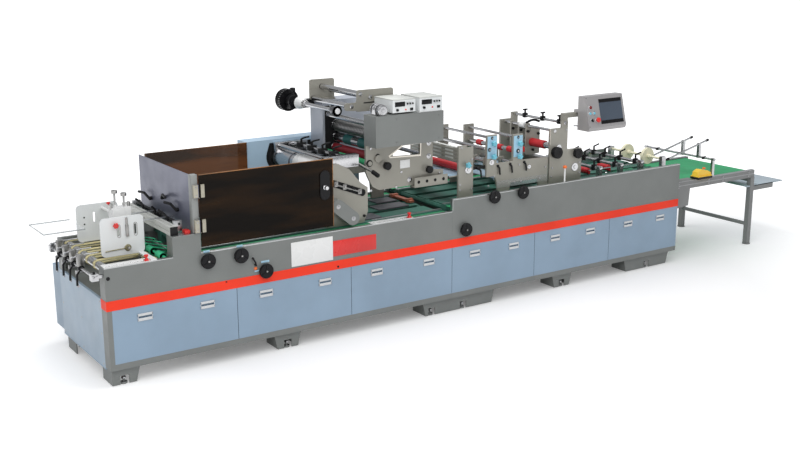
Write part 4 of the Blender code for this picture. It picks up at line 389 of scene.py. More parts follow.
def around(axis, radius, count, first=0.0):
    """Evenly spaced points, along and up, on a circle about an axis."""
    angles = [math.radians(first) + math.tau * step / count for step in range(count)]
    return [(axis[0] + radius * math.cos(angle), axis[1] + radius * math.sin(angle)) for angle in angles]


def cap(mesh, centre, direction, side, face, sides=14, foot=None):
    """A turned cap: radius and height of its side, the same of its flat face, and its foot's radius."""
    lathe(mesh, centre, direction,
          ((0.0, foot or side[0]), (side[1], side[0]), (face[1], face[0]), (face[1], 0.0)), sides)


def disc(mesh, centre, radius, height, sides):
    """A flat round disc that faces the operator."""
    lathe(mesh, centre, OUTWARD, ((0.0, radius), (height, radius), (height, 0.0)), sides)


def collar(mesh, centre, bore, edge, radius, length, ease, sides=28, direction=AWAY):
    """A turned ring with eased edges."""
    lathe(mesh, centre, direction,
          ((0.0, bore), (0.0, edge), (ease, radius), (length - ease, radius), (length, edge),
           (length, bore)), sides)


def washer(mesh, centre, direction, bore, radius, length, sides):
    """A plain ring with sharp edges."""
    lathe(mesh, centre, direction, ((0.0, bore), (0.0, radius), (length, radius), (length, bore)), sides)


def thread(mesh, centre, root, crest, rise):
    """One turn of a screw's thread, standing upright."""
    lathe(mesh, centre, UPWARD, ((0.0, root), (rise, crest), (rise * 2, root)), 14)


def hoop(mesh, outer, inner, low, high):
    """A closed band between two outlines given along and up, from low to high across."""
    rows = []
    for y in (low, high):
        for outline in (outer, inner):
            rows.append([mesh.verts.new(across(point, y)) for point in outline])
    for index in range(len(outer)):
        after = (index + 1) % len(outer)
        for a, b in ((0, 2), (2, 3), (3, 1), (1, 0)):
            mesh.faces.new((rows[a][index], rows[a][after], rows[b][after], rows[b][index]))


def piece(name, mesh, material, slot, body="machine", smooth=SHARP_FROM):
    """Makes the collected shapes one object that rides on a body."""
    bmesh.ops.recalc_face_normals(mesh, faces=mesh.faces)
    data = bpy.data.meshes.new(name)
    mesh.to_mesh(data)
    mesh.free()
    data.transform(Matrix.Translation(CORNER))
    data.shade_smooth()
    data.set_sharp_from_angle(angle=math.radians(smooth))
    data.materials.append(material)
    made = bpy.data.objects.new(name, data)
    bpy.context.scene.collection.objects.link(made)
    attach(made, body)
    return made


def box_piece(name, boxes, bevel, material, slot, body="machine"):
    """One piece of boxes with eased edges, each given by its two corners."""
    mesh = lump()
    for low, high in boxes:
        block(mesh, low, high, bevel)
    return piece(name, mesh, material, slot, body)


def repeated(name, base, points, material, body="machine"):
    """Sets one small shape on many points with Geometry Nodes and keeps the plain mesh."""
    template_mesh = bpy.data.meshes.new(name + "_one")
    bmesh.ops.recalc_face_normals(base, faces=base.faces)
    base.to_mesh(template_mesh)
    base.free()
    template = bpy.data.objects.new(name + "_one", template_mesh)
    cloud = bpy.data.meshes.new(name)
    cloud.from_pydata([tuple(CORNER + Vector(point)) for point in points], [], [])
    holder = bpy.data.objects.new(name, cloud)
    bpy.context.scene.collection.objects.link(holder)
    tree = bpy.data.node_groups.new(name, "GeometryNodeTree")
    tree.interface.new_socket("Geometry", in_out="INPUT", socket_type="NodeSocketGeometry")
    size_socket = tree.interface.new_socket("Size", in_out="INPUT", socket_type="NodeSocketFloat")
    size_socket.default_value = 1.0
    tree.interface.new_socket("Geometry", in_out="OUTPUT", socket_type="NodeSocketGeometry")
    source = tree.nodes.new("NodeGroupInput")
    sink = tree.nodes.new("NodeGroupOutput")
    info = tree.nodes.new("GeometryNodeObjectInfo")
    info.inputs["Object"].default_value = template
    spots = tree.nodes.new("GeometryNodeInstanceOnPoints")
    real = tree.nodes.new("GeometryNodeRealizeInstances")
    paint = tree.nodes.new("GeometryNodeSetMaterial")
    paint.inputs["Material"].default_value = material
    tree.links.new(source.outputs["Geometry"], spots.inputs["Points"])
    tree.links.new(source.outputs["Size"], spots.inputs["Scale"])
    tree.links.new(info.outputs["Geometry"], spots.inputs["Instance"])
    tree.links.new(spots.outputs["Instances"], real.inputs["Geometry"])
    tree.links.new(real.outputs["Geometry"], paint.inputs["Geometry"])
    tree.links.new(paint.outputs["Geometry"], sink.inputs["Geometry"])
    maker = holder.modifiers.new("spots", "NODES")
    maker.node_group = tree
    bpy.context.view_layer.update()
    final = bpy.data.meshes.new_from_object(holder.evaluated_get(bpy.context.evaluated_depsgraph_get()))
    holder.modifiers.remove(maker)
    holder.data = final
    final.shade_smooth()
    final.set_sharp_from_angle(angle=math.radians(SHARP_FROM))
    bpy.data.objects.remove(template)
    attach(holder, body)
    return holder


def bolt_shape(radius, height):
    """A socket cap screw that faces the operator."""
    mesh = lump()
    lathe(mesh, (0.0, 0.0005, 0.0), OUTWARD,
          ((0.0, radius), (height * 0.85, radius), (height, radius * 0.88), (height, radius * 0.5),
           (height * 0.45, radius * 0.45), (height * 0.45, 0.0)), 12)
    return mesh


# Body: handwheels, handles, stand screws, edges and bare plates

HANDWHEELS = ((0.739, 0.791), (0.994, 0.791), (1.187, 0.645),
              (3.003, 0.690), (3.293, 0.925), (3.597, 0.925))
INFEED_TOP = 0.853
DELIVERY_TOP = 0.950
INFEED_END = 2.880
BODY_END = 5.511
INFEED_DOOR = 0.960
DELIVERY_DOOR = 0.877
FIRST_DOOR_START = 0.0353
DOOR_GAP = 0.002
PULL_INSET = 0.230
PULL_HALF = 0.054


def handwheels():
    """Black dished wheels with a turned rim, spokes and a hub screw, over the plain wheels."""
    wheels = lump()
    screws = lump()
    for x, z in HANDWHEELS:
        lathe(wheels, (x, -0.015, z), OUTWARD,
              ((0.0, 0.012), (0.0, 0.053), (0.004, 0.0555), (0.017, 0.0555), (0.0235, 0.052),
               (0.0235, 0.047), (0.0215, 0.044), (0.0215, 0.018), (0.0250, 0.016), (0.0250, 0.006)), 40)
        for (x0, z0), (x1, z1) in zip(around((x, z), 0.012, 3, 90), around((x, z), 0.047, 3, 90)):
            rod(wheels, (x0, -0.037, z0), (x1, -0.037, z1), 0.0045, 8)
        cap(screws, (x, -0.039, z), OUTWARD, (0.007, 0.003), (0.005, 0.004), 12)
    piece("handwheel_rims", wheels, BLACK_GLOSS, "black_metal", smooth=28.0)
    piece("handwheel_screws", screws, DARK_FITTING, "bright_steel")


def door_edges_along():
    """Left and right edge of each front door."""
    edges = []
    for origin, pitch in ((0.0, INFEED_DOOR), (INFEED_END, DELIVERY_DOOR)):
        for index in range(3):
            edges.append((origin + pitch * index + DOOR_GAP, origin + pitch * (index + 1) - DOOR_GAP))
    edges[0] = (FIRST_DOOR_START, edges[0][1])
    return edges


def door_handles():
    """Pressed recessed pulls with a rolled rim and a finger lip."""
    rims = []
    for start, end in door_edges_along():
        for middle in (start + PULL_INSET, end - PULL_INSET):
            low, high = middle - PULL_HALF, middle + PULL_HALF
            for x_low, x_high, z_low, z_high in ((low, high, 0.4785, 0.4965),
                                                 (low, high, 0.4435, 0.4640),
                                                 (low, low + 0.004, 0.4445, 0.4955),
                                                 (high - 0.004, high, 0.4445, 0.4955)):
                rims.append(((x_low, -0.0050, z_low), (x_high, -0.0022, z_high)))
    box_piece("door_pulls", rims, 0.0009, PULL_WHITE, "machined_aluminium")


def plate_edges():
    """Dark rubber seams between the doors, and the bright edges of the front plates."""
    seams = [((end + 0.0003, 0.002, 0.168), (end + 0.0037, 0.016, 0.548))
             for start, end in door_edges_along()[:-1]]
    box_piece("door_seams", seams, 0.0, BLACK_RUBBER, "black_rubber")
    lips = lump()
    for start, end, top in ((0.0, 0.4898, INFEED_TOP), (0.7002, INFEED_END - 0.001, INFEED_TOP),
                            (INFEED_END + 0.001, BODY_END, DELIVERY_TOP)):
        block(lips, (start, -0.0006, top - 0.0012), (end, 0.0306, top + 0.0014), 0.0006)
        block(lips, (start, -0.0008, top - 0.0060), (end, 0.0004, top + 0.0010), 0.0003)
    block(lips, (0.4895, -0.0006, 0.9945), (0.6505, 0.1004, 0.9962), 0.0004)
    block(lips, (INFEED_END, -0.0008, INFEED_TOP), (INFEED_END + 0.0055, 0.0306, DELIVERY_TOP), 0.0004)
    piece("plate_edges", lips, EDGE_STEEL, "machined_aluminium")


def bare_plates():
    """The plain plates on the operator's side, and the scale strips with their ticks and pointers."""
    box_piece("bare_plate_white", [((1.407, -0.0026, 0.632), (1.761, 0.0008, 0.816))], 0.0010,
              WHITE_GLOSS, "white_plate")
    box_piece("bare_plate_red", [((1.7615, -0.0026, 0.655), (2.148, 0.0008, 0.776))], 0.0010,
              RED_GLOSS, "stripe_paint")
    strips = [((start, 0.0, INFEED_TOP + 0.0012), (end, depth, INFEED_TOP + 0.0032))
              for start, end, depth in ((0.004, 0.372, 0.0880), (2.120, 2.500, 0.0800))]
    box_piece("scale_strips", strips, 0.0004, WHITE_GLOSS, "white_plate")
    tick = lump()
    block(tick, (-0.0009, -0.0110, 0.0), (0.0009, 0.0110, 0.0006))
    level = INFEED_TOP + 0.0031
    marks = [(0.020 + 0.0100 * step, 0.0180, level) for step in range(35)]
    marks += [(2.130 + 0.0100 * step, 0.0180, level) for step in range(37)]
    marks += [(start + 0.0500 * step, 0.0300, level) for start in (0.050, 2.150) for step in range(7)]
    repeated("scale_ticks", tick, marks, BLACK_METAL)
    pointers = lump()
    for x in (0.305, 2.470):
        block(pointers, (x - 0.016, 0.004, INFEED_TOP + 0.0028), (x + 0.016, 0.034, INFEED_TOP + 0.012),
              0.002)
        neck = ((x - 0.010, INFEED_TOP + 0.010), (x + 0.010, INFEED_TOP + 0.010),
                (x + 0.004, INFEED_TOP + 0.030), (x - 0.004, INFEED_TOP + 0.030))
        plate(pointers, neck, "Y", 0.006, 0.026)
        star_knob(pointers, (x, 0.018, INFEED_TOP + 0.024), UPWARD, 0.016, 0.022)
    piece("scale_pointers", pointers, RED_GLOSS, "red_rubber")


def small_controls():
    """Buttons, plugs and the black lever on the operator's side plate."""
    dark = lump()
    for x, y, z, radius in ((0.024, 0.001, 0.779, 0.013), (1.803, -0.0020, 0.5715, 0.008),
                            (0.880, 0.001, 0.610, 0.006)):
        cap(dark, (x, y, z), OUTWARD, (radius, 0.004), (radius * 0.8, 0.006), 16)
    rod(dark, (1.109, 0.0, 0.700), (1.109, -0.026, 0.700), 0.007)
    path_rod(dark, ((1.109, -0.020, 0.700), (1.103, -0.026, 0.722), (1.088, -0.027, 0.747)), 0.0060)
    rod(dark, (1.088, -0.027, 0.747), (1.079, -0.027, 0.763), 0.0085)
    piece("plate_plugs", dark, BLACK_GLOSS, "black_metal")
    lit = lump()
    cap(lit, (1.112, 0.0005, 0.672), OUTWARD, (0.012, 0.006), (0.009, 0.008), 18)
    piece("plate_button", lit, ORANGE_PLASTIC, "stripe_paint")
    tags = lump()
    for x_low, x_high, z_low, z_high, bevel in ((0.715, 0.763, 0.8480, 0.8650, 0.0006),
                                                (0.970, 1.018, 0.8480, 0.8650, 0.0006),
                                                (1.160, 1.225, 0.7020, 0.7180, 0.0006),
                                                (1.105, 1.160, 0.646, 0.656, 0.0004)):
        block(tags, (x_low, -0.0012, z_low), (x_high, 0.0006, z_high), bevel)
    piece("plate_tags", tags, PALE_BLUE, "cover_paint")


def stand_screws():
    """Hexagon nuts and threads of the levelling screws, and the washers over the pads."""
    nuts = lump()
    for x in (0.105, 1.375, 2.700, 3.020, 4.110, 5.160):
        for y in (0.058, 0.942):
            cap(nuts, (x, y, 0.0136), UPWARD, (0.0245, 0.002), (0.012, 0.004), 20)
            collar(nuts, (x, y, 0.036), 0.009, 0.0155, 0.0175, 0.014, 0.002, 6, UPWARD)
            for turn in range(9):
                thread(nuts, (x, y, 0.0535 + turn * 0.004), 0.0080, 0.0098, 0.0013)
    piece("levelling_nuts", nuts, ZINC, "bright_steel")


def end_panel_details():
    """The end panel's screws and its folded edges."""
    screw = lump()
    cap(screw, (0.0005, 0.0, 0.0), (-1.0, 0.0, 0.0), (0.0070, 0.0022), (0.0050, 0.0030), 12, 0.0075)
    spots = [(0.0, y, z) for y in (0.135, 0.550, 0.965) for z in (0.140, 0.360, 0.590)]
    repeated("end_panel_screws", screw, spots, ZINC)
    folds = [((-0.0022, 0.1035, low), (0.0040, 0.9985, high))
             for low, high in ((0.6085, 0.6152), (0.1085, 0.1150))]
    box_piece("end_panel_folds", folds, 0.0008, COVER_PAINT, "cover_paint")


# Feeder

FEED_AXIS = (0.462, 0.838)
TRANSFER_AXIS = (0.620, 0.800)
FRONT_ROLLER = (0.052, 0.811)
BACK_ROLLER = (0.400, 0.811)
BACKSTOP = (-0.057, 0.795)
GATE_ACROSS = 0.366


def feeder_belts():
    """Bright rollers between the cream belts, belt edges and the green belts behind them."""
    rollers = lump()
    middles = [0.03 + 0.94 / 6 * (index + 0.5) for index in range(6)]
    edges = [0.0320] + [middle + side for middle in middles for side in (-0.0145, 0.0145)] + [0.9680]
    for x, z in (FRONT_ROLLER, BACK_ROLLER):
        for low, high in zip(edges[::2], edges[1::2]):
            collar(rollers, (x, low, z), 0.026, 0.0300, 0.0312, high - low, 0.0015, 32)
    piece("feed_roller_shells", rollers, CHROME, "bright_steel")
    seams = lump()
    line = [(0.400, 0.8453)] + ring_points(FRONT_ROLLER, 0.0345, 90, 270, 9) + [(0.400, 0.7767)]
    for y in [middle + side for middle in middles for side in (-0.0132, 0.0132)]:
        for (x0, z0), (x1, z1) in zip(line, line[1:]):
            rod(seams, (x0, y, z0), (x1, y, z1), 0.0011, 6)
    piece("feed_belt_edges", seams, BELT_EDGE, "cream_belt")
    green = lump()
    outer = ring_points(TRANSFER_AXIS, 0.022, -90, 90, 8) + ring_points(FEED_AXIS, 0.0295, 90, 270, 8)
    inner = ring_points(TRANSFER_AXIS, 0.019, -90, 90, 8) + ring_points(FEED_AXIS, 0.0270, 90, 270, 8)
    for y in (0.300, 0.420, 0.560, 0.680):
        hoop(green, outer, inner, y - 0.018, y + 0.018)
    piece("transfer_belts", green, LIT_SLEEVE_GREEN, "green_belt")
    core = lump()
    rod(core, across(TRANSFER_AXIS, 0.0300), across(TRANSFER_AXIS, 0.9700), 0.0189, 20)
    piece("transfer_roller", core, CHROME, "bright_steel")


def feeder_plates():
    """Keyhole slots, knobs and thumb screws of the stack's plates and gate."""
    bright = lump()
    dial = lump()
    for x in (0.205, 0.325):
        outer, inner = [ring_points((x, 1.065), radius, 0, 180, 10)
                        + ring_points((x, 0.995), radius, 180, 360, 10) for radius in (0.0135, 0.0100)]
        hoop(bright, outer, inner, 0.2412, 0.2446)
    block(bright, (0.252, 0.228, 0.985), (0.272, 0.2445, 1.070), 0.002)
    rod(bright, (0.262, 0.236, 1.010), (0.262, 0.236, 1.120), 0.0070)
    rod(bright, (0.262, 0.2445, 0.905), (0.262, 0.205, 0.905), 0.0100)
    lathe(dial, (0.262, 0.2450, 0.905), OUTWARD,
          ((0.0, 0.024), (0.005, 0.024), (0.006, 0.021), (0.004, 0.018), (0.004, 0.0)), 28)
    rod(dial, (0.250, 0.2385, 0.905), (0.100, 0.2385, 0.898), 0.0035, 10)
    piece("stack_plate_fittings", bright, DARK_FITTING, "bright_steel")
    piece("stack_plate_dial", dial, DULL_BRASS, "bright_steel")
    red = lump()
    star_knob(red, (0.180, 0.2445, 1.075), OUTWARD, 0.021, 0.034)
    star_knob(red, (0.222, 0.470, 1.168), UPWARD, 0.014, 0.022)
    piece("stack_plate_knobs", red, RED_GLOSS, "red_rubber")
    knobs = lump()
    for x, top in ((0.2325, 1.2910), (0.2975, 1.2660)):
        lathe(knobs, (x, GATE_ACROSS, top - 0.0205), UPWARD,
              ((0.0, 0.0200), (0.001, 0.0214), (0.0200, 0.0214), (0.0218, 0.0190), (0.0218, 0.0)), 28)
        for z in [top - 0.100 + turn * 0.0055 for turn in range(14)]:
            if z > 1.165:
                thread(knobs, (x, GATE_ACROSS, z), 0.0070, 0.0084, 0.0016)
    for x in (0.205, 0.330):
        cap(knobs, (x, GATE_ACROSS, 1.1595), UPWARD, (0.010, 0.040), (0.007, 0.043), 18)
    rod(knobs, (0.150, 0.3160, 1.0830), (0.420, 0.3160, 1.0830), 0.0060, 12)
    piece("gate_fittings", knobs, DARK_FITTING, "bright_steel")
    # Black discs in the far plate's holes: painted shade.
    holes = lump()
    for z in (0.985, 1.035):
        disc(holes, (0.130, 0.7442, z), 0.006, 0.002, 14)
    piece("far_plate_holes", holes, BLACK_METAL, "black_metal")
    low, high = (-0.2202, 0.5598, 0.9918), (0.0749, 0.9102, 1.0002)
    rims = [(low, (low[0] + 0.003, high[1], high[2])),
            ((low[0] + 0.003, low[1], low[2]), (high[0], low[1] + 0.003, high[2])),
            ((low[0] + 0.003, high[1] - 0.003, low[2]), high)]
    box_piece("clear_table_rim", rims, 0.0005, CLEAR_EDGE, "clear_sheet")


def backstop_details():
    """Black levers, pins and the clamp screws along the rod before the infeed end."""
    levers = lump()
    bright = lump()
    forks = lump()
    x, z = BACKSTOP
    for y in [0.305 + 0.150 * index for index in range(4)]:
        collar(levers, (x, y - 0.014, z), 0.010, 0.0205, 0.0225, 0.028, 0.003, 20)
        path_rod(levers, ((x - 0.012, y, z - 0.020), (x - 0.032, y - 0.006, z - 0.042),
                          (x - 0.036, y - 0.010, z - 0.120)), 0.0078, 10)
        rod(bright, (x - 0.004, y, z + 0.088), (x - 0.055, y, z + 0.081), 0.0052)
        cap(bright, (x - 0.055, y, z + 0.081), (-1.0, 0.0, -0.1), (0.0085, 0.010), (0.006, 0.011), 14)
        block(forks, (x - 0.026, y - 0.0135, z + 0.012), (x + 0.020, y + 0.0135, z + 0.100), 0.006)
    piece("backstop_forks", forks, DARK_FITTING, "machined_aluminium")
    for y in (0.036, 0.931):
        for side in (-0.014, 0.014):
            cap(bright, (x + side, y - 0.0240, z + 0.010), OUTWARD, (0.0060, 0.004), (0.004, 0.005), 12)
        cap(levers, (x, y, z + 0.0232), UPWARD, (0.009, 0.013), (0.006, 0.015), 14)
    piece("backstop_levers", levers, BLACK_METAL, "black_metal")
    piece("backstop_screws", bright, SATIN_STEEL, "bright_steel")


def crossbeam_details():
    """Black end caps of the grooved profile, its clamping levers, its brackets and their rods."""
    clamps = lump()
    for y in (0.0335, 0.9615):
        block(clamps, (0.4935, y, 0.9955), (0.5495, y + 0.005, 1.0575), 0.0015)
    for y, lean in ((0.240, 0.030), (0.470, -0.020), (0.700, 0.020)):
        block(clamps, (0.545, y - 0.020, 1.010), (0.575, y + 0.020, 1.045), 0.003)
        rod(clamps, (0.560, y, 1.045), (0.560, y, 1.085), 0.009)
        path_rod(clamps, ((0.560, y, 1.080), (0.552, y + lean, 1.098), (0.520, y + 2.2 * lean, 1.126)),
                 0.0080, 10)
    rod(clamps, (0.590, 0.105, 1.055), (0.590, 0.900, 1.055), 0.0130, 14)
    block(clamps, (0.574, 0.420, 1.010), (0.606, 0.470, 1.075), 0.003)
    piece("crossbeam_clamps", clamps, BLACK_METAL, "black_metal")
    brackets = lump()
    for y in (0.105, 0.875):
        block(brackets, (0.548, y, 1.000), (0.612, y + 0.022, 1.080), 0.002)
    for y in (0.330, 0.560):
        block(brackets, (0.400, y - 0.009, 1.0570), (0.640, y + 0.009, 1.0640), 0.002)
        rod(brackets, (0.415, y, 0.930), (0.415, y, 1.0600), 0.0055)
    piece("crossbeam_brackets", brackets, ALUMINIUM, "machined_aluminium")
    box_piece("pedestal_block", [((0.600, 0.030, 0.9945), (0.640, 0.085, 1.0200))], 0.004,
              RED_GLOSS, "red_rubber")


def sleeve_bands():
    """Turned steps on the soft sleeves of the feed shaft, which turn with it."""
    profile = [(0.0, 0.018), (0.0, 0.0262), (0.002, 0.0274)]
    for start in [0.006 + step * 0.021 for step in range(4)]:
        profile += [(start, 0.0274), (start + 0.001, 0.0264),
                    (start + 0.003, 0.0264), (start + 0.004, 0.0274)]
    profile += [(0.088, 0.0274), (0.090, 0.0262), (0.090, 0.018)]
    bands = lump()
    for index in range(5):
        lathe(bands, across(FEED_AXIS, 0.110 + 0.1725 * index), AWAY, profile, 32)
    piece("feed_sleeves", bands, LIT_SLEEVE_GREEN, "green_belt", "feed_shaft")


# Guard

HINGE_HEIGHTS = (1.0453, 1.2933)
HINGE_HALF = 0.0462


def hinge_screws(mesh, x, y, z):
    """The two screws of one hinge half."""
    for offset in (-0.028, 0.028):
        cap(mesh, (x, y, z + offset), OUTWARD, (0.0055, 0.0020), (0.004, 0.0028), 14, 0.0060)


def guard_details():
    """Post, hinges, latch and the pale edges of the guard's sheets."""
    box_piece("guard_post", [((0.6532, 0.0117, 0.9960), (0.7006, 0.0613, 1.4078))], 0.003,
              POST_ENAMEL, "guard_paint")
    leaves = lump()
    for z in HINGE_HEIGHTS:
        block(leaves, (0.6595, -0.0130, z - HINGE_HALF), (0.6940, 0.0120, z + HINGE_HALF), 0.003)
        lathe(leaves, (0.7025, -0.0065, z - 0.0480), UPWARD,
              ((0.0, 0.0045), (0.001, 0.0058), (0.003, 0.0062), (0.003, 0.0)), 18)
    piece("hinge_leaves", leaves, HINGE_BEIGE, "unit_plate")
    moving = lump()
    fixed = lump()
    for z in HINGE_HEIGHTS:
        block(moving, (0.7130, -0.0140, z - HINGE_HALF), (0.7402, -0.0004, z + HINGE_HALF), 0.0015)
        hinge_screws(moving, 0.7265, -0.0138, z)
        hinge_screws(fixed, 0.6770, -0.0128, z)
    piece("hinge_plates", moving, HINGE_BEIGE, "unit_plate", "guard_door")
    piece("hinge_screws", fixed, ZINC, "bright_steel")
    latch = lump()
    outline = ring_points((1.700, 1.285), 0.0405, 0, 180, 14)
    plate(latch, outline + ring_points((1.700, 1.145), 0.0405, 180, 360, 14), "Y", -0.0095, -0.0002)
    piece("latch_plate", latch, BLACK_GLOSS, "black_metal", "guard_door")
    knob = lump()
    lathe(knob, (1.700, -0.0090, 1.1975), OUTWARD,
          ((0.0, 0.0150), (0.002, 0.0165), (0.006, 0.0100), (0.018, 0.0100), (0.022, 0.0145),
           (0.033, 0.0145), (0.0352, 0.0115), (0.0352, 0.0)), 28)
    piece("latch_knob", knob, CHROME, "bright_steel", "guard_door")
    rims = [((0.7062, -0.0006, 1.4030), (1.7745, 0.0066, 1.4078)),
            ((1.7705, -0.0006, 0.8935), (1.7752, 0.0066, 1.4078))]
    box_piece("guard_door_rim", rims, 0.0008, AMBER_EDGE, "smoked_sheet", "guard_door")
    back = lump()
    block(back, (0.7010, 0.9774, 1.4030), (1.5550, 0.9846, 1.4078), 0.0008)
    block(back, (0.7004, 0.9700, 0.8540), (0.7120, 0.9850, 1.4060), 0.002)
    piece("guard_back_rim", back, AMBER_EDGE, "smoked_sheet")
    levers = lump()
    for y, z, lean in ((0.260, 1.120, 0.060), (0.520, 1.160, -0.060), (0.760, 1.110, 0.060)):
        cap(levers, (0.6535, y, z), (-1.0, 0.0, 0.0), (0.014, 0.020), (0.010, 0.024), 16)
        path_rod(levers, ((0.6350, y, z), (0.6200, y + lean, z + 0.034),
                          (0.6080, y + 2.4 * lean, z + 0.030)), 0.0100, 10)
    piece("guard_end_levers", levers, BLACK_METAL, "black_metal")


# Glue section, between the guard and the tower

CYLINDER = (1.855, 1.262)
BELT_PULLEYS = ((1.832, 1.026), (1.964, 0.918))


def glue_details():
    """Bars, blades and clamps over the plate cylinder, and the belt cover's rim."""
    steel = lump()
    dark = lump()
    for y, depth in ((0.1440, 0.0590), (0.9400, 0.0610)):
        block(steel, (1.790, y, 1.290), (2.090, y + depth, 1.385), 0.003)
    for x, z, radius in ((1.830, 1.362, 0.016), (1.960, 1.372, 0.012),
                         (2.060, 1.340, 0.018), (2.060, 1.304, 0.012)):
        rod(steel, (x, 0.186, z), (x, 0.957, z), radius, 20)
    block(steel, (1.945, 0.230, 1.320), (1.985, 0.900, 1.336), 0.002)
    plate(steel, ((1.930, 1.345), (2.020, 1.350), (1.985, 1.285), (1.972, 1.285)), "Y", 0.225, 0.905)
    for y in (0.300, 0.470, 0.640, 0.810):
        block(dark, (1.925, y - 0.022, 1.352), (1.995, y + 0.022, 1.394), 0.004)
        rod(dark, (1.960, y, 1.390), (1.960, y, 1.425), 0.009)
        path_rod(dark, ((1.960, y, 1.420), (1.976, y - 0.014, 1.430), (2.010, y - 0.040, 1.440)), 0.0070)
    piece("glue_bars", steel, CHROME, "bright_steel")
    piece("glue_clamps", dark, BLACK_METAL, "black_metal")
    # Dark plates of painted shade: the slot in the near plate and the recess about the cylinder on the far
    # plate.
    gap = lump()
    outline = ring_points((1.850, 1.185), 0.028, 90, 270, 8) + ring_points((2.105, 1.085), 0.028, -90, 90, 8)
    plate(gap, outline, "Y", 0.1200, 0.1246)
    recess = ring_points(CYLINDER, 0.118, 160, 385, 18) + [(2.150, 1.300), (2.150, 1.372), (1.770, 1.378)]
    plate(gap, recess, "Y", 0.9970, 0.9996)
    piece("glue_openings", gap, PAINTED_SHADE_DARK, "black_metal")
    works = lump()
    for x, z in ((1.865, 1.180), (1.940, 1.150), (2.075, 1.098)):
        block(works, (x - 0.016, 0.1060, z - 0.020), (x + 0.016, 0.1230, z + 0.022), 0.003)
        cap(works, (x, 0.1065, z), OUTWARD, (0.010, 0.010), (0.007, 0.012), 16)
    rod(works, (1.860, 0.1150, 1.178), (2.090, 0.1150, 1.092), 0.0075, 12)
    rod(works, (2.069, 0.300, 1.339), (2.155, 0.060, 1.255), 0.0110, 16)
    piece("glue_works", works, DARK_FITTING, "bright_steel")
    handle = lump()
    rod(handle, (2.155, 0.060, 1.255), (2.182, 0.005, 1.222), 0.0170, 16)
    block(handle, (2.000, 0.1080, 1.1150), (2.030, 0.1230, 1.1450), 0.003)
    for x, z in ((1.812, 1.290), (1.812, 0.900), (2.120, 0.900)):
        cap(handle, (x, 0.1256, z), OUTWARD, (0.011, 0.008), (0.008, 0.010), 14)
    piece("glue_handle", handle, BLACK_GLOSS, "black_metal")
    cover = lump()
    (upper_x, upper_z), (lower_x, lower_z) = BELT_PULLEYS
    lean = math.degrees(math.atan2(lower_z - upper_z, lower_x - upper_x))
    outline = (ring_points(BELT_PULLEYS[1], 0.0535, lean - 90, lean + 90, 12)
               + ring_points(BELT_PULLEYS[0], 0.0535, lean + 90, lean + 270, 12))
    for low, high in ((0.0262, 0.0330), (0.0860, 0.0930)):
        plate(cover, outline, "Y", low, high)
    piece("belt_cover_rims", cover, BODY_PAINT, "body_paint")
    caps = lump()
    for x, z in BELT_PULLEYS:
        cap(caps, (x, 0.0270, z), OUTWARD, (0.018, 0.003), (0.014, 0.004), 20)
        cap(caps, (x, 0.0230, z), OUTWARD, (0.008, 0.006), (0.006, 0.007), 6)
    piece("belt_cover_caps", caps, ZINC, "bright_steel")
    mouth = lump()
    hoop(mouth, around(CYLINDER, 0.0900, 40), around(CYLINDER, 0.0860, 40), 0.9965, 1.0010)
    piece("gear_cover_mouth", mouth, BLACK_RUBBER, "black_rubber")


def cylinder_details():
    """The printing band, end rings and bolts of the plate cylinder, which turn with it."""
    band = lump()
    collar(band, across(CYLINDER, 0.300), 0.070, 0.0770, 0.0782, 0.342, 0.002, 48)
    piece("cylinder_band", band, WHITE_GLOSS, "white_plate", "plate_cylinder")
    rings = lump()
    for y in (0.172, 0.262, 0.690, 0.950):
        collar(rings, across(CYLINDER, y), 0.070, 0.0768, 0.0785, 0.014, 0.002, 40)
    for spot in around(CYLINDER, 0.050, 6):
        cap(rings, across(spot, 0.1655), OUTWARD, (0.0075, 0.005), (0.005, 0.006), 12)
    piece("cylinder_rings", rings, DARK_STEEL, "bright_steel", "plate_cylinder")


# Patching tower

TOWER_ROLLERS = (("green_roller", (2.185, 1.300), 0.022), ("red_roller", (2.262, 1.330), 0.034),
                 ("lower_nip_roller", (2.285, 1.412), 0.040), ("upper_nip_roller", (2.285, 1.508), 0.048),
                 ("idler_roller", (2.205, 1.600), 0.022))
UPPER_NIP = (2.285, 1.508)
LOWER_NIP = (2.285, 1.412)
TOWER_FACE = 0.1452
BED_TOP = 0.846


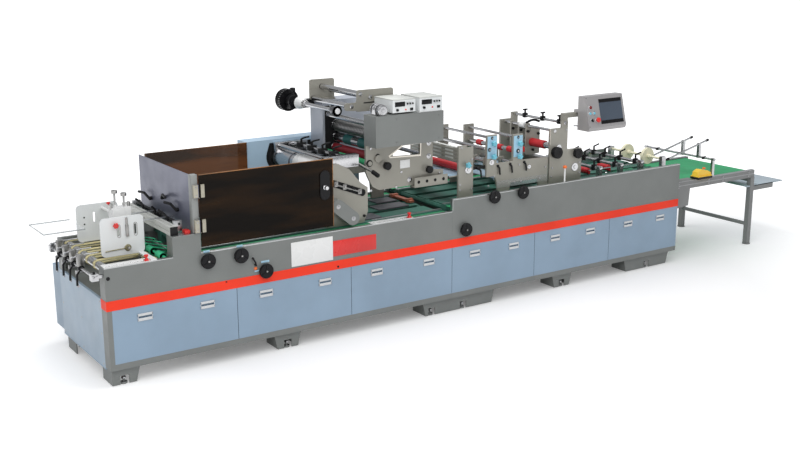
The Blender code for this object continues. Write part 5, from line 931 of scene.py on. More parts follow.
def tower_plate_details():
    """Knobs on bright shafts, tie ends, bearing flanges and the bare plate on the tower's near side."""
    bright = lump()
    dark = lump()
    for x, z, radius, reach in ((2.328, 1.270, 0.026, 0.045), (2.733, 1.196, 0.024, 0.040)):
        lathe(bright, (x, 0.1450, z), OUTWARD,
              ((0.0, radius + 0.0008), (reach * 0.45, radius + 0.0008), (reach * 0.45, radius - 0.002)), 28)
        lathe(dark, (x, 0.1450, z), OUTWARD,
              ((reach * 0.44, radius - 0.002), (reach * 0.44, radius + 0.003),
               (reach * 0.50, radius + 0.0055), (reach * 1.10, radius + 0.0055),
               (reach * 1.22, radius + 0.0015), (reach * 1.22, 0.0)), 18)
    for x, z in ((2.745, 1.300), (2.560, 1.130), (2.745, 1.405)):
        cap(bright, (x, TOWER_FACE, z), OUTWARD, (0.0215, 0.003), (0.0195, 0.004), 24)
        lathe(bright, (x, 0.1415, z), OUTWARD,
              ((0.0, 0.0105), (0.009, 0.0105), (0.010, 0.0085), (0.010, 0.0052), (0.005, 0.0048),
               (0.005, 0.0)), 12)
    for x, z in ((2.195, 1.085), (2.430, 1.085), (2.195, 1.415),
                 (2.480, 1.200), (2.850, 1.090), (2.850, 1.150)):
        lathe(bright, (x, TOWER_FACE, z), OUTWARD,
              ((0.0, 0.0095), (0.007, 0.0095), (0.008, 0.0080), (0.008, 0.0048), (0.004, 0.0044),
               (0.004, 0.0)), 12)
    for x, z, radius in ((2.185, 1.300, 0.028), (2.262, 1.347, 0.020)):
        lathe(dark, (x, TOWER_FACE, z), OUTWARD,
              ((0.0, radius), (0.005, radius), (0.006, radius - 0.002), (0.006, 0.011), (0.010, 0.010),
               (0.010, 0.0)), 24)
    piece("tower_shafts", bright, CHROME, "bright_steel")
    piece("tower_knobs", dark, BLACK_GLOSS, "black_metal")
    box_piece("tower_bare_plate", [((2.470, 0.1412, 1.228), (2.562, 0.1456, 1.293))], 0.0012,
              WHITE_GLOSS, "white_plate")
    outer = ((2.3605, 1.3395), (2.3745, 1.3215), (2.6680, 1.3085), (2.6735, 1.4180), (2.4945, 1.4165))
    inner = ((2.373, 1.333), (2.376, 1.3315), (2.661, 1.321), (2.661, 1.409), (2.499, 1.406))
    rim = lump()
    hoop(rim, outer, inner, 0.1425, 0.1458)
    piece("tower_window_rim", rim, UNIT_EDGE, "unit_plate")
    bracket = [((2.580, 0.1050, 1.0650), (2.905, 0.1455, 1.0760)),
               ((2.580, 0.1020, 1.0650), (2.905, 0.1080, 1.1450))]
    box_piece("web_bracket", bracket, 0.002, UNIT_ENAMEL, "unit_plate")
    # Dark discs in the bracket's holes: painted shade.
    holes = lump()
    for x in (2.620, 2.700, 2.780, 2.862):
        disc(holes, (x, 0.1022, 1.108), 0.013, 0.0015, 18)
    piece("web_bracket_holes", holes, PAINTED_SHADE_DARK, "black_metal")
    clamp = [((2.7850, 0.4700, BED_TOP - 0.0005), (2.8300, 0.7900, BED_TOP + 0.0200))]
    clamp += [((2.7750, y, BED_TOP - 0.0005), (2.8400, y + 0.0300, BED_TOP + 0.0300)) for y in (0.500, 0.720)]
    box_piece("web_clamp", clamp, 0.003, CLAY_ENAMEL, "stripe_paint")
    decks = [((start, y, BED_TOP - 0.0090), (end, y + 0.150, BED_TOP + 0.0030))
             for start, end, y in ((2.180, 2.330, 0.200), (2.440, 2.740, 0.410), (2.560, 2.760, 0.620))]
    box_piece("bed_decks", decks, 0.001, DECK_GREY, "stand_paint")


def tower_cover_details():
    """Top seam and cap screws of the tower's near cover, the dark sheet of painted shade behind the rollers
    on its far cover, and that cover's screws.
    """
    box_piece("tower_cover_top", [((2.3145, -0.0008, 1.6780), (2.7700, 0.1700, 1.6812))], 0.0008,
              BODY_PAINT, "body_paint")
    spots = [(x, 0.0, z) for x in (2.345, 2.740) for z in (1.470, 1.650)]
    repeated("tower_cover_screws", bolt_shape(0.0060, 0.0035), spots, BODY_PAINT)
    # A black sheet on the far cover's near face behind the rollers: painted shade.
    box_piece("far_cover_lining", [((2.1750, 0.7965, 1.2850), (2.3120, 0.7996, 1.6700))], 0.001,
              PAINTED_SHADE_DARK, "black_metal")
    screws = lump()
    for x in (2.330, 2.640):
        for z in (1.300, 1.685):
            cap(screws, (x, 0.7998, z), OUTWARD, (0.0085, 0.004), (0.006, 0.005), 12)
    piece("far_cover_screws", screws, ZINC, "bright_steel")


def roller_details():
    """End rings and ribbed sleeves that turn with the tower's rollers."""
    for name, axis, radius in TOWER_ROLLERS:
        rings = lump()
        for y in (0.178, 0.786):
            collar(rings, across(axis, y), radius * 0.8, radius + 0.0004, radius + 0.0014, 0.007, 0.001)
        piece(name + "_rings", rings, CHROME, "bright_steel", name)
    ribs = lump()
    for index in range(26):
        collar(ribs, across(UPPER_NIP, 0.205 + index * 0.0220), 0.046, 0.0484, 0.0494, 0.011, 0.001)
    piece("upper_nip_ribs", ribs, DARK_FITTING, "bright_steel", "upper_nip_roller")
    sleeves = lump()
    for y in (0.300, 0.520):
        collar(sleeves, across(LOWER_NIP, y), 0.038, 0.0406, 0.0416, 0.120, 0.001)
    piece("lower_nip_sleeves", sleeves, TEAL_RUBBER, "green_belt", "lower_nip_roller")


def web_guide_details():
    """Bright guide rollers with end caps, and the slot and knobs of the web guide."""
    caps = lump()
    knobs = lump()
    rollers = lump()
    for x, z in ((2.200, 1.820), (2.290, 1.790), (2.120, 1.728)):
        for y, direction in ((0.2900, OUTWARD), (0.8970, AWAY)):
            cap(caps, (x, y, z), direction, (0.0165, 0.004), (0.0120, 0.006), 20)
        for y in (0.3035, 0.8780):
            washer(knobs, (x, y, z), AWAY, 0.018, 0.0222, 0.005, 24)
        rod(rollers, (x, 0.3090, z), (x, 0.8780, z), 0.0216, 24)
    piece("web_guide_shells", rollers, CHROME, "bright_steel")
    star_knob(knobs, (2.405, 0.2900, 1.770), OUTWARD, 0.022, 0.036)
    star_knob(knobs, (2.380, 0.2000, 1.694), UPWARD, 0.018, 0.028)
    block(knobs, (2.230, 0.2885, 1.7440), (2.340, 0.2905, 1.7540), 0.0008)
    piece("web_guide_caps", caps, CHROME, "bright_steel")
    piece("web_guide_knobs", knobs, BLACK_METAL, "black_metal")


REEL = (1.975, 1.708)


def reel_details():
    """Collars, key and cones of the reel shaft, turning with it, and the finned brake."""
    turning = lump()
    for y, radius in ((0.252, 0.0235), (0.330, 0.0235), (0.745, 0.0235), (0.851, 0.0275)):
        collar(turning, across(REEL, y), 0.014, radius - 0.002, radius, 0.018, 0.002)
    for inner, outer in zip(around(REEL, 0.010, 3), around(REEL, 0.040, 3)):
        rod(turning, across(inner, 0.339), across(outer, 0.339), 0.0050, 10)
    piece("reel_collars", turning, CHROME, "bright_steel", "reel_shaft")
    cone = lump()
    lathe(cone, across(REEL, 0.770), AWAY,
          ((0.0, 0.030), (0.0, 0.0345), (0.003, 0.0362), (0.074, 0.0512), (0.080, 0.0512),
           (0.082, 0.0490), (0.082, 0.030)), 36)
    piece("reel_cone_far", cone, WHITE_GLOSS, "white_plate", "reel_shaft")
    cone = lump()
    lathe(cone, across(REEL, 0.262), AWAY,
          ((0.0, 0.026), (0.0, 0.0420), (0.003, 0.0436), (0.010, 0.0436), (0.060, 0.0325),
           (0.068, 0.0312), (0.068, 0.024)), 36)
    piece("reel_cone_near", cone, DARK_STEEL, "bright_steel", "reel_shaft")
    pins = lump()
    rod(pins, (1.975, 0.9650, 1.7560), (1.975, 0.9650, 1.7800), 0.008)
    star_knob(pins, (1.975, 0.9650, 1.7560), UPWARD, 0.026, 0.060)
    for y in (1.0288, 1.0588, 1.0888):
        for spot in around(REEL, 0.066, 10):
            lathe(pins, across(spot, y), AWAY, ((0.0, 0.007), (0.0178, 0.007)), 10)
    piece("reel_brake_pins", pins, BLACK_METAL, "black_metal")
    rims = lump()
    for y in (1.0295, 1.0595, 1.0895):
        collar(rims, across(REEL, y), 0.084, 0.0880, 0.0896, 0.016, 0.002, 48)
    lathe(rims, across(REEL, 0.9340), AWAY,
          ((0.0, 0.040), (0.0, 0.0500), (0.003, 0.0520), (0.058, 0.0520), (0.062, 0.0500),
           (0.062, 0.040)), 36)
    piece("reel_brake_rims", rims, BLACK_GLOSS, "black_metal")
    fins = lump()
    for spot in around(REEL, 0.0895, 30):
        rod(fins, across(spot, 1.0280), across(spot, 1.0460), 0.0028, 6)
    piece("reel_brake_fins", fins, DARK_FITTING, "bright_steel")


POWER_BOXES = ((2.312, 2.520), (2.560, 2.775))
POWER_BOX_TOP = 1.796
POWER_BOX_FACE = 0.0062
CLUTCH = (2.230, 1.722)


def power_box_details():
    """Lids, dark displays, knobs and lamps of the two power boxes, and the rings of the clutch."""
    lids = [((low - 0.0015, 0.0040, POWER_BOX_TOP - 0.0080), (high + 0.0015, 0.2640, POWER_BOX_TOP + 0.0015))
            for low, high in POWER_BOXES]
    box_piece("power_box_lids", lids, 0.002, LIGHT_ENAMEL, "white_plate")
    controls = lump()
    for low, high in POWER_BOXES:
        middle = (low + high) / 2
        block(controls, (low + 0.020, 0.0035, 1.740), (middle + 0.008, 0.0070, 1.776), 0.0010)
        for x in [middle + 0.030 + index * 0.024 for index in range(3)]:
            cap(controls, (x, POWER_BOX_FACE, 1.758), OUTWARD, (0.0062, 0.009), (0.005, 0.010), 14, 0.0068)
        cap(controls, (low + 0.040, POWER_BOX_FACE, 1.716), OUTWARD, (0.0095, 0.013), (0.008, 0.014),
            18, 0.0105)
        block(controls, (high - 0.050, 0.0020, 1.704), (high - 0.022, 0.0066, 1.724), 0.0010)
    piece("power_box_controls", controls, BLACK_GLOSS, "black_metal")
    lamps = lump()
    for x in (2.430, 2.680):
        cap(lamps, (x, POWER_BOX_FACE, 1.714), OUTWARD, (0.0056, 0.006), (0.003, 0.008), 14, 0.0062)
    piece("power_box_lamps", lamps, RED_GLOSS, "red_rubber")
    clutch = lump()
    for spot in around(CLUTCH, 0.0424, 24):
        rod(clutch, across(spot, 0.016), across(spot, 0.052), 0.0022, 6)
    lathe(clutch, across(CLUTCH, 0.0155), OUTWARD,
          ((0.0, 0.036), (0.002, 0.036), (0.003, 0.030), (0.0015, 0.028), (0.0015, 0.015), (0.006, 0.014),
           (0.007, 0.010), (0.007, 0.0)), 30)
    for y in (0.0600, 0.0940, 0.1260):
        collar(clutch, across(CLUTCH, y), 0.038, 0.0428, 0.0438, 0.007, 0.001, 36)
    piece("clutch_rings", clutch, SATIN_STEEL, "bright_steel")


# Beds


def bed_details():
    """Lane edges, side lanes, guide strips and the small red rollers between the carrier belts."""
    edges = [((low + 0.004, y, top - 0.003), (high - 0.004, y + 0.0015, top + 0.0012))
             for low, high, top in ((0.720, 2.870, 0.838), (2.890, 5.501, 0.877))
             for y in (0.045, 0.1105, 0.200, 0.350, 0.410, 0.560, 0.620, 0.770, 0.888, 0.9535)]
    box_piece("bed_belt_edges", edges, 0.0004, BELT_GREEN_EDGE, "green_belt")
    lanes = [((low, y, top - 0.0010), (high, y + 0.0630, top + 0.0016))
             for low, high, top in ((0.722, 2.868, 0.838), (2.892, 5.499, 0.877)) for y in (0.0470, 0.8900)]
    box_piece("bed_side_lanes", lanes, 0.0006, BRIGHT_GREEN, "green_belt")
    strips = [((low + 0.002, y, top - 0.0004), (high - 0.002, y + 0.028, top + 0.0060))
              for low, high, top in ((0.720, 1.770, 0.8462), (2.200, 2.870, 0.8462), (2.890, 5.501, 0.8852))
              for y in (0.130, 0.812)]
    box_piece("bed_guide_strips", strips, 0.001, ALUMINIUM, "machined_aluminium")
    red = lump()
    for x in (4.750, 5.010):
        rod(red, (x, 0.415, 0.9060), (x, 0.555, 0.9060), 0.0280, 24)
        for y in (0.403, 0.559):
            block(red, (x - 0.012, y, 0.8770), (x + 0.012, y + 0.008, 0.9180), 0.002)
    piece("bed_rollers", red, RED_RUBBER, "red_rubber")


# Creasing and folding units

UNIT_FACE = 0.125
UNIT_SCREWS = ((3.045, 0.985), (3.165, 0.985), (3.045, 1.030), (3.060, 1.335), (3.165, 1.230),
               (3.340, 0.985), (3.620, 0.985), (3.690, 0.985), (3.400, 1.060), (3.900, 0.985),
               (3.960, 1.080), (3.670, 1.130), (4.030, 0.985), (4.355, 0.985), (4.355, 1.075),
               (4.190, 1.380), (4.040, 1.060), (4.190, 1.060))
CREASE_ROD = (3.130, 1.147)
FOLD_ROD = (3.650, 1.250)
PULL_ROD = (4.110, 1.230)


def unit_screws():
    """Socket cap screws of the creasing, folding and delivery plates, all one shape."""
    spots = [(x, UNIT_FACE, z) for x, z in UNIT_SCREWS]
    repeated("unit_plate_screws", bolt_shape(0.0085, 0.0070), spots, ZINC)


def cross_rods():
    """Stepped ends with their retaining screws, shells and red sleeves of the bright cross rods."""
    ends = lump()
    for x, z, radius in ((3.130, 1.147, 0.026), (3.370, 1.385, 0.008), (3.345, 1.290, 0.012),
                         (3.650, 1.365, 0.008), (3.650, 1.250, 0.014), (3.372, 1.180, 0.018),
                         (3.780, 1.100, 0.012), (4.175, 1.440, 0.008), (4.304, 1.039, 0.030),
                         (4.060, 1.380, 0.008), (4.110, 1.230, 0.022)):
        lathe(ends, (x, UNIT_FACE + 0.0005, z), OUTWARD,
              ((0.0, radius + 0.008), (0.004, radius + 0.008), (0.006, radius + 0.005),
               (0.006, radius * 0.55), (0.011, radius * 0.50), (0.011, 0.0)), 24)
    piece("cross_rod_ends", ends, CHROME, "bright_steel")
    backings = [((3.4000, 0.1180, 1.2100), (3.4220, 0.1245, 1.3980)),
                ((3.3240, 0.1195, 1.2150), (3.4200, 0.1248, 1.4000)),
                ((3.6040, 0.1195, 1.2000), (3.7000, 0.1248, 1.3800))]
    box_piece("upright_backings", backings, 0.002, PALE_BLUE, "cover_paint")
    stars = lump()
    for x, z in ((3.373, 1.342), (3.373, 1.232), (3.652, 1.315), (3.652, 1.205), (3.108, 1.190)):
        star_knob(stars, (x, 0.1195, z), OUTWARD, 0.026, 0.042, 5)
    piece("setting_stars", stars, CYAN_PLASTIC, "green_belt")
    sleeves = lump()
    for y in (0.190, 0.330, 0.470, 0.610):
        collar(sleeves, across(FOLD_ROD, y), 0.014, 0.0240, 0.0260, 0.060, 0.002, 24)
    collar(sleeves, across(PULL_ROD, 0.300), 0.024, 0.0340, 0.0370, 0.190, 0.003)
    collar(sleeves, across(CREASE_ROD, 0.200), 0.028, 0.0308, 0.0318, 0.540, 0.001)
    piece("red_sleeves", sleeves, RED_RUBBER, "red_rubber")
    shells = lump()
    for x, z, radius in ((3.370, 1.385, 0.010), (3.345, 1.290, 0.014), (3.650, 1.365, 0.010),
                         (3.650, 1.250, 0.016), (3.372, 1.180, 0.020), (3.780, 1.100, 0.014),
                         (4.175, 1.440, 0.010), (4.304, 1.039, 0.034), (4.060, 1.380, 0.010),
                         (4.110, 1.230, 0.026), (2.745, 1.300, 0.016), (2.745, 1.405, 0.016)):
        rod(shells, (x, 0.1700, z), (x, 0.7900, z), radius + 0.0016, 20)
    piece("cross_rod_shells", shells, CHROME, "bright_steel")


def fold_details():
    """Carrier blocks, clamping levers, white faces, blue tables and the clear strip."""
    carriers = lump()
    for x, z in ((3.372, 1.180), (3.780, 1.100)):
        for y in (0.200, 0.350, 0.500, 0.650):
            block(carriers, (x - 0.024, y - 0.014, z - 0.034), (x + 0.024, y + 0.014, z + 0.032), 0.004)
    block(carriers, (3.460, 0.240, 1.060), (3.960, 0.290, 1.100), 0.003)
    piece("carrier_blocks", carriers, UNIT_ENAMEL, "unit_plate")
    levers = lump()
    for x, y, z in ((3.372, 0.200, 1.214), (3.372, 0.500, 1.214),
                    (3.780, 0.350, 1.134), (3.780, 0.650, 1.134)):
        rod(levers, (x, y, z - 0.004), (x, y, z + 0.026), 0.0090)
        path_rod(levers, ((x, y, z + 0.020), (x + 0.010, y - 0.012, z + 0.030),
                          (x + 0.030, y - 0.040, z + 0.044)), 0.0070)
    for x in (3.596, 3.884):
        cap(levers, (x, 0.2405, 1.080), OUTWARD, (0.011, 0.018), (0.008, 0.020), 14)
        path_rod(levers, ((x, 0.228, 1.080), (x + 0.004, 0.220, 1.062), (x + 0.006, 0.216, 1.006)),
                 0.0075, 10)
    block(levers, (3.0500, 0.1448, 1.1340), (4.0120, 0.1640, 1.1580), 0.002)
    for x, z in ((3.240, 1.142), (3.438, 1.144), (3.570, 1.146), (3.724, 1.146)):
        cap(levers, (x, 0.1460, z), OUTWARD, (0.012, 0.028), (0.009, 0.030), 16)
        path_rod(levers, ((x, 0.121, z), (x + 0.010, 0.113, z - 0.018), (x + 0.014, 0.109, z - 0.074)),
                 0.0075, 10)
    piece("clamping_levers", levers, BLACK_METAL, "black_metal")
    white = lump()
    for y in [0.205 + index * 0.165 for index in range(4)]:
        block(white, (3.0310, y, 1.2200), (3.0345, y + 0.110, 1.3280), 0.0010)
    block(white, (3.0330, 0.1240, 1.3325), (3.0680, 0.8010, 1.3350), 0.0008)
    piece("ribbed_beam_faces", white, LIGHT_ENAMEL, "white_plate")
    blue = lump()
    tables = ((3.4280, 3.5960), (3.7100, 3.9800))
    block(blue, (2.9520, 0.1480, 1.1078), (3.1480, 0.7970, 1.1102), 0.0008)
    for start, end in tables:
        block(blue, (start, 0.1700, 1.0300), (end, 0.7800, 1.0340), 0.0010)
    for start, end in tables:
        for y_low, y_high in ((0.1448, 0.1735), (0.7545, 0.8002)):
            block(blue, (start, y_low, 1.0180), (end, y_high, 1.0302), 0.0010)
    piece("blue_tables", blue, TABLE_BLUE, "cover_paint")
    box_piece("clear_strip", [((3.4300, 0.1212, 0.9550), (3.9800, 0.1252, 1.0150))], 0.0010,
              CLEAR_SHEET, "clear_sheet")


def delivery_details():
    """Black knobs, the post with its cap, and the clamps of the rear carriage."""
    dark = lump()
    for x, z, radius, reach in ((4.069, 1.194, 0.046, 0.045), (4.320, 1.162, 0.040, 0.035)):
        lathe(dark, (x, UNIT_FACE, z), OUTWARD,
              ((0.0, radius + 0.0006), (reach * 0.30, radius + 0.0006), (reach * 0.40, radius + 0.0045),
               (reach * 1.02, radius + 0.0045), (reach * 1.10, radius + 0.001), (reach * 1.10, radius * 0.45),
               (reach * 1.02, radius * 0.40), (reach * 1.02, 0.0)), 36)
    for y in (0.4795, 0.5795, 0.6895):
        for x, z in ((4.060, 1.330), (4.180, 1.300), (4.120, 1.160)):
            cap(dark, (x, y, z), OUTWARD, (0.012, 0.014), (0.009, 0.016), 16)
    curve = [(4.044 + 0.022 * step, 1.4060 + 0.020 * math.sin(math.pi * step / 7)) for step in range(8)]
    for first, last in zip(curve, curve[1:]):
        rod(dark, across(first, 0.4860), across(last, 0.4860), 0.0110, 12)
    for y in (0.180, 0.400, 0.640):
        block(dark, (4.155, y, 1.4220), (4.195, y + 0.034, 1.4640), 0.004)
        middle = y + 0.017
        rod(dark, (4.175, middle, 1.462), (4.175, middle, 1.498), 0.0085)
        rod(dark, (4.150, middle, 1.4945), (4.200, middle, 1.4945), 0.0075)
    piece("delivery_knobs", dark, BLACK_GLOSS, "black_metal")
    guides = [((4.0450, y, 1.1400), (4.0660, y + 0.0600, 1.1850)) for y in (0.4915, 0.5915)]
    box_piece("carriage_guides", guides, 0.004, RED_GLOSS, "red_rubber")
    white = lump()
    collar(white, (4.060, 0.520, 1.380), 0.010, 0.0240, 0.0270, 0.060, 0.003)
    rod(white, (4.090, 0.0150, 0.9490), (4.090, 0.0150, 1.0700), 0.0070, 16)
    piece("carriage_pulley", white, WHITE_GLOSS, "white_plate")
    post_cap = lump()
    lathe(post_cap, (4.090, 0.0150, 1.0700), UPWARD,
          ((0.0, 0.0150), (0.003, 0.0170), (0.016, 0.0170), (0.022, 0.0120), (0.024, 0.0)), 18)
    piece("post_cap", post_cap, ORANGE_PLASTIC, "stripe_paint")
    edge = lump()
    outline = ((4.0090, 1.2650), (4.0130, 1.2650), (4.0130, 1.4000), (4.0090, 1.4000))
    plate(edge, outline, "Y", 0.1235, 0.1465)
    block(edge, (4.2100, 0.1235, 1.1985), (4.3810, 0.1465, 1.2025), 0.001)
    piece("delivery_plate_edges", edge, UNIT_EDGE, "unit_plate")


# Control box

BOX_FRONT = -0.045
BOX_BOTTOM = 1.400
BOX_LEAN = 0.070 / 0.265
BOX_OUTWARD = (0.0, -math.cos(math.atan(BOX_LEAN)), math.sin(math.atan(BOX_LEAN)))
BOX_BUTTONS = (("button_stop_small", DARK_RED, "red_rubber", 4.345, 1.572, 0.016),
               ("button_start", CYAN_PLASTIC, "green_belt", 4.332, 1.522, 0.013),
               ("button_jog", CYAN_PLASTIC, "green_belt", 4.380, 1.522, 0.013),
               ("selector_switch", BLACK_GLOSS, "black_metal", 4.345, 1.464, 0.014))
STOP_BUTTON = (4.404, 1.462, 0.017)
SCREEN_START, SCREEN_END = 4.4490, 4.7140


def on_box(x, z, proud=0.0):
    """A point on the control box's leaning front face."""
    return Vector((x, BOX_FRONT + (z - BOX_BOTTOM) * BOX_LEAN - proud, z))


def screen_slab(mesh, z_low, z_high, proud):
    """A slab as wide as the screen that lies on the leaning front face."""
    corners = ((SCREEN_START, z_low), (SCREEN_END, z_low), (SCREEN_END, z_high), (SCREEN_START, z_high))
    back, front = [[mesh.verts.new(on_box(x, z, depth)) for x, z in corners] for depth in (-0.004, proud)]
    mesh.faces.new(list(reversed(back)))
    mesh.faces.new(front)
    for index in range(4):
        after = (index + 1) % 4
        mesh.faces.new((back[index], back[after], front[after], front[index]))


def control_box_details():
    """The screen with its dark surround, the buttons, the selector and the stop button."""
    surround = lump()
    screen_slab(surround, 1.6060, 1.6350, 0.0030)
    screen_slab(surround, 1.4260, 1.4550, 0.0030)
    piece("screen_surround", surround, BLACK_GLOSS, "black_metal", "control_box")
    glass = lump()
    screen_slab(glass, 1.4548, 1.6062, 0.0022)
    piece("screen_glass", glass, SCREEN_GLASS, "smoked_sheet", "control_box")
    rings = lump()
    for x, z, radius in [button[3:] for button in BOX_BUTTONS] + [STOP_BUTTON]:
        lathe(rings, on_box(x, z, -0.0015), BOX_OUTWARD,
              ((0.0, radius + 0.003), (0.004, radius + 0.003), (0.0055, radius + 0.001),
               (0.0055, radius - 0.004)), 24)
    for x in (4.312, 4.728):
        for z in (1.412, 1.652):
            lathe(rings, on_box(x, z, -0.001), BOX_OUTWARD,
                  ((0.0, 0.0055), (0.003, 0.0050), (0.0035, 0.0)), 12)
    piece("button_rings", rings, CHROME, "bright_steel", "control_box")
    for name, material, slot, x, z, radius in BOX_BUTTONS:
        button = lump()
        cap(button, on_box(x, z, 0.002), BOX_OUTWARD, (radius - 0.002, 0.006), (radius - 0.004, 0.008), 24)
        if name == "selector_switch":
            rod(button, on_box(x, z - 0.012, 0.014), on_box(x, z + 0.012, 0.014), 0.0050, 10)
        piece(name, button, material, slot, "control_box")
    mushroom = lump()
    lathe(mushroom, on_box(STOP_BUTTON[0], STOP_BUTTON[1], 0.001), BOX_OUTWARD,
          ((0.0, 0.012), (0.012, 0.012), (0.014, 0.021), (0.018, 0.0225), (0.024, 0.0205),
           (0.029, 0.012), (0.030, 0.0)), 28)
    piece("stop_mushroom", mushroom, RED_GLOSS, "red_rubber", "control_box")
    washers = lump()
    for z in (1.395, 1.505):
        washer(washers, (4.322, 0.150, z), UPWARD, 0.012, 0.0200, 0.006, 20)
    piece("swivel_washers", washers, ZINC, "bright_steel")


# Pressing section, delivery belt and tray

PRESS_BARS = (4.620, 4.880, 5.140)
PRESS_LEVEL = 0.985


def press_details():
    """Collars, clamping levers and hold-down rails of the bright bars, and the press wheels' rims."""
    dark = lump()
    bright = lump()
    for x in PRESS_BARS:
        for y in (0.210, 0.410, 0.610, 0.760):
            block(dark, (x - 0.024, y - 0.015, 0.9650), (x + 0.024, y + 0.015, 1.0120), 0.004)
            rod(dark, (x, y, 1.010), (x, y, 1.0520), 0.0090)
            path_rod(dark, ((x, y, 1.046), (x + 0.008, y - 0.016, 1.056), (x + 0.014, y - 0.052, 1.076)),
                     0.0072)
        for y in (0.1615, 0.7980):
            collar(bright, (x, y, PRESS_LEVEL), 0.0155, 0.0220, 0.0235, 0.010, 0.001, 20)
        for y, direction in ((0.1185, OUTWARD), (0.8515, AWAY)):
            cap(bright, (x, y, PRESS_LEVEL), direction, (0.0180, 0.003), (0.015, 0.004), 20)
    for y in (0.200, 0.600):
        block(bright, (4.560, y, 0.9600), (5.230, y + 0.026, 0.9655), 0.0015)
    piece("press_levers", dark, BLACK_METAL, "black_metal")
    piece("press_collars", bright, CHROME, "bright_steel")
    rims = lump()
    for y in (0.3262, 0.5862):
        collar(rims, (5.430, y, PRESS_LEVEL), 0.0600, 0.0765, 0.0778, 0.0316, 0.0020, 48)
    piece("press_wheel_rims", rims, FOAM, "foam_cream", "press_wheels")


def conveyor_details():
    """Bolts, rail lips and belt lacing of the delivery belt, its rods' clamps and the foot switch."""
    spots = [(x, 0.0500, z) for x in (5.560, 5.980, 6.180, 6.560) for z in (0.705, 0.740)]
    repeated("conveyor_bolts", bolt_shape(0.0080, 0.0060), spots, ZINC)
    lips = lump()
    for y in (0.0492, 0.9092):
        block(lips, (5.5125, y, 0.7585), (6.6490, y + 0.0416, 0.7612), 0.0006)
        block(lips, (5.5125, y - 0.0002, 0.7200), (6.6490, y + 0.0420, 0.7235), 0.0006)
    piece("conveyor_rail_lips", lips, ALUMINIUM, "machined_aluminium")
    lacing = [((5.520, y, 0.7480), (6.640, y + 0.0020, 0.7512)) for y in (0.0945, 0.9035)]
    lacing += [((x, 0.096, 0.7490), (x + 0.004, 0.904, 0.7514)) for x in (5.640, 5.655, 5.670)]
    box_piece("conveyor_belt_lacing", lacing, 0.0006, BELT_GREEN_EDGE, "green_belt")
    clamps = lump()
    half = Vector((0.540, 0.0, 0.129)).normalized() * 0.018
    for y in (0.250, 0.450):
        for x, z in ((5.615, 0.947), (6.155, 1.076)):
            middle = Vector((x, y, z))
            rod(clamps, middle - half, middle + half, 0.0125, 16)
    for y in (0.180, 0.480, 0.780):
        rod(clamps, (6.020, y, 0.925), (6.070, y, 0.925), 0.0145, 16)
    piece("stop_bar_clamps", clamps, BLACK_METAL, "black_metal")
    feet = lump()
    for y in (0.070, 0.930):
        collar(feet, (6.6253, y, 0.0300), 0.008, 0.0165, 0.0180, 0.014, 0.002, 6, UPWARD)
    piece("conveyor_foot_nuts", feet, ZINC, "bright_steel")
    box_piece("switch_base", [((5.7970, 0.0165, 0.7605), (5.9930, 0.1230, 0.7830))], 0.004,
              BLACK_RUBBER, "black_rubber")
    button = lump()
    cap(button, (5.925, 0.070, 0.8480), UPWARD, (0.0150, 0.010), (0.010, 0.013), 20, 0.0160)
    piece("switch_button", button, ORANGE_PLASTIC, "stripe_paint")


def short_tray():
    """The pale tray sheet under the belt's far end, with its edges turned down."""
    tray = lump()
    block(tray, (6.5250, 0.0500, 0.6005), (7.1000, 0.9500, 0.6040), 0.0008)
    for y in (0.0500, 0.9480):
        block(tray, (6.5250, y, 0.5925), (7.1000, y + 0.0020, 0.6035), 0.0006)
    sheet = piece("tray_sheet", tray, TRAY_ENAMEL, "cover_paint")
    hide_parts("tray")


def back_details():
    """Screws of the drive covers and the gear cover behind, and dark slots of painted shade for the drive
    covers' louvres.
    """
    screw = lump()
    cap(screw, (0.0, 1.1700, 0.0), AWAY, (0.0100, 0.0030), (0.0070, 0.0042), 12, 0.0105)
    spots = [(x, 0.0, z) for x in (0.080, 1.380, 1.480, 2.780, 2.960, 4.130, 4.270, 5.430)
             for z in (0.190, 0.560)]
    repeated("drive_cover_screws", screw, spots, ZINC)
    screw = lump()
    cap(screw, (0.0, 1.1500, 0.0), AWAY, (0.0090, 0.0030), (0.0065, 0.0040), 12, 0.0095)
    spots = [(x, 0.0, z) for x in (1.590, 2.090, 2.585) for z in (0.650, 1.010, 1.370)]
    repeated("gear_cover_screws", screw, spots, ZINC)
    # Dark slots for the louvres' openings: painted shade.
    slots = [((middle - 0.070, 1.1695, z), (middle + 0.070, 1.1712, z + 0.010))
             for middle in (0.480, 0.980, 1.900, 2.400, 3.300, 3.800, 4.600, 5.100)
             for z in [0.300 + index * 0.026 for index in range(6)]]
    box_piece("drive_cover_louvres", slots, 0.0012, PAINTED_SHADE_DARK, "black_metal")


# Studio


def point_camera():
    """The camera at the photograph's place and angle."""
    yaw = math.radians(CAMERA_YAW)
    drop = math.radians(CAMERA_DROP)
    roll = math.radians(CAMERA_ROLL)
    forward = Vector((math.sin(yaw) * math.cos(drop), math.cos(yaw) * math.cos(drop), -math.sin(drop)))
    right = Vector((math.cos(yaw), -math.sin(yaw), 0.0))
    up = right.cross(forward)
    right, up = (math.cos(roll) * right + math.sin(roll) * up, math.cos(roll) * up - math.sin(roll) * right)
    data = bpy.data.cameras.new("camera")
    data.lens = CAMERA_LENS
    data.clip_end = CAMERA_REACH
    camera = bpy.data.objects.new("camera", data)
    turn = Matrix((right, up, -forward)).transposed()
    camera.matrix_world = Matrix.Translation(CORNER + CAMERA_PLACE) @ turn.to_4x4()
    bpy.context.scene.collection.objects.link(camera)
    bpy.context.scene.camera = camera


def lamp(name, place, target, size, power):
    """A soft rectangular lamp that points at the target."""
    data = bpy.data.lights.new(name, "AREA")
    data.shape = "RECTANGLE"
    data.size = size[0]
    data.size_y = size[1]
    data.energy = power
    light = bpy.data.objects.new(name, data)
    light.location = place
    light.rotation_euler = (Vector(target) - Vector(place)).to_track_quat("-Z", "Y").to_euler()
    bpy.context.scene.collection.objects.link(light)


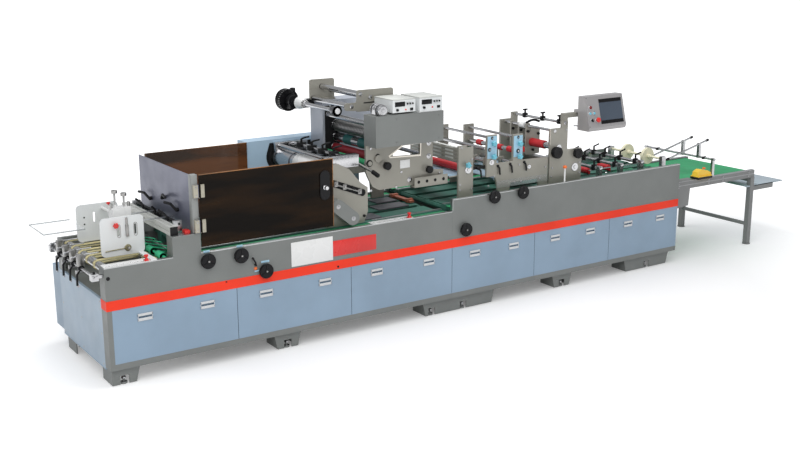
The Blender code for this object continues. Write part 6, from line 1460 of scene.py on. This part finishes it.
def plain_world():
    """Even white surroundings, brighter to the camera and in mirrors than as light."""
    world = bpy.data.worlds.new("studio")
    bpy.context.scene.world = world
    world.use_nodes = True
    tree = world.node_tree
    seen = tree.nodes["Background"]
    seen.inputs["Color"].default_value = (1.0, 1.0, 1.0, 1.0)
    seen.inputs["Strength"].default_value = 1.0
    lit = add_node(tree, "ShaderNodeBackground")
    lit.inputs["Color"].default_value = (0.95, 0.97, 1.0, 1.0)
    lit.inputs["Strength"].default_value = 0.50
    path = add_node(tree, "ShaderNodeLightPath")
    mix = add_node(tree, "ShaderNodeMixShader")
    tree.links.new(path.outputs["Is Camera Ray"], mix.inputs["Fac"])
    tree.links.new(lit.outputs["Background"], mix.inputs[1])
    tree.links.new(seen.outputs["Background"], mix.inputs[2])
    tree.links.new(mix.outputs["Shader"], tree.nodes["World Output"].inputs["Surface"])


# How far from the machine the floor grows to the background's white
FLOOR_NEAR = 2.6
FLOOR_FAR = 6.5
GLOW_NEAR = 0.17
GLOW_FAR = 0.90


def pale_floor():
    """A wide pale floor that keeps the shadow."""
    mesh = bpy.data.meshes.new("floor")
    surface = bmesh.new()
    bmesh.ops.create_grid(surface, x_segments=1, y_segments=1, size=60.0)
    surface.to_mesh(mesh)
    surface.free()
    material, tree, shader = blank_material("floor")
    shader.inputs["Base Color"].default_value = (0.90, 0.90, 0.90, 1.0)
    shader.inputs["Roughness"].default_value = 0.9
    shader.inputs["Specular IOR Level"].default_value = 0.0
    glow = add_node(tree, "ShaderNodeEmission")
    place = add_node(tree, "ShaderNodeTexCoord")
    reach = add_node(tree, "ShaderNodeVectorMath", operation="LENGTH")
    fade = add_node(tree, "ShaderNodeMapRange")
    fade.inputs["From Min"].default_value = FLOOR_NEAR
    fade.inputs["From Max"].default_value = FLOOR_FAR
    fade.inputs["To Min"].default_value = GLOW_NEAR
    fade.inputs["To Max"].default_value = GLOW_FAR
    tree.links.new(place.outputs["Object"], reach.inputs[0])
    tree.links.new(reach.outputs["Value"], fade.inputs["Value"])
    tree.links.new(fade.outputs["Result"], glow.inputs["Strength"])
    path = add_node(tree, "ShaderNodeLightPath")
    either = add_node(tree, "ShaderNodeMath", operation="MAXIMUM")
    any_of = add_node(tree, "ShaderNodeMath", operation="MAXIMUM")
    both = add_node(tree, "ShaderNodeAddShader")
    mix = add_node(tree, "ShaderNodeMixShader")
    tree.links.new(path.outputs["Is Camera Ray"], either.inputs[0])
    tree.links.new(path.outputs["Is Glossy Ray"], either.inputs[1])
    tree.links.new(either.outputs["Value"], any_of.inputs[0])
    tree.links.new(path.outputs["Is Transmission Ray"], any_of.inputs[1])
    tree.links.new(shader.outputs["BSDF"], both.inputs[0])
    tree.links.new(glow.outputs["Emission"], both.inputs[1])
    tree.links.new(any_of.outputs["Value"], mix.inputs["Fac"])
    tree.links.new(shader.outputs["BSDF"], mix.inputs[1])
    tree.links.new(both.outputs["Shader"], mix.inputs[2])
    tree.links.new(mix.outputs["Shader"], tree.nodes["Material Output"].inputs["Surface"])
    mesh.materials.append(material)
    floor = bpy.data.objects.new("floor", mesh)
    bpy.context.scene.collection.objects.link(floor)


for make in (dress_nodes, handwheels, door_handles, plate_edges, bare_plates, small_controls, stand_screws,
             end_panel_details, feeder_belts, feeder_plates, backstop_details, crossbeam_details,
             sleeve_bands, guard_details, glue_details, cylinder_details, tower_plate_details,
             tower_cover_details, roller_details, web_guide_details, reel_details, power_box_details,
             bed_details, unit_screws, cross_rods, fold_details, delivery_details, control_box_details,
             press_details, conveyor_details, short_tray, back_details, point_camera, plain_world,
             pale_floor):
    make()
MIDDLE = at(2.8, 0.5, 0.7)
lamp("key_light", at(-1.5, -5.0, 5.5), MIDDLE, (6.0, 4.0), 215.0)
lamp("top_light", at(3.0, 0.5, 6.0), MIDDLE, (8.0, 4.0), 230.0)
bpy.context.scene.view_settings.view_transform = "Standard"
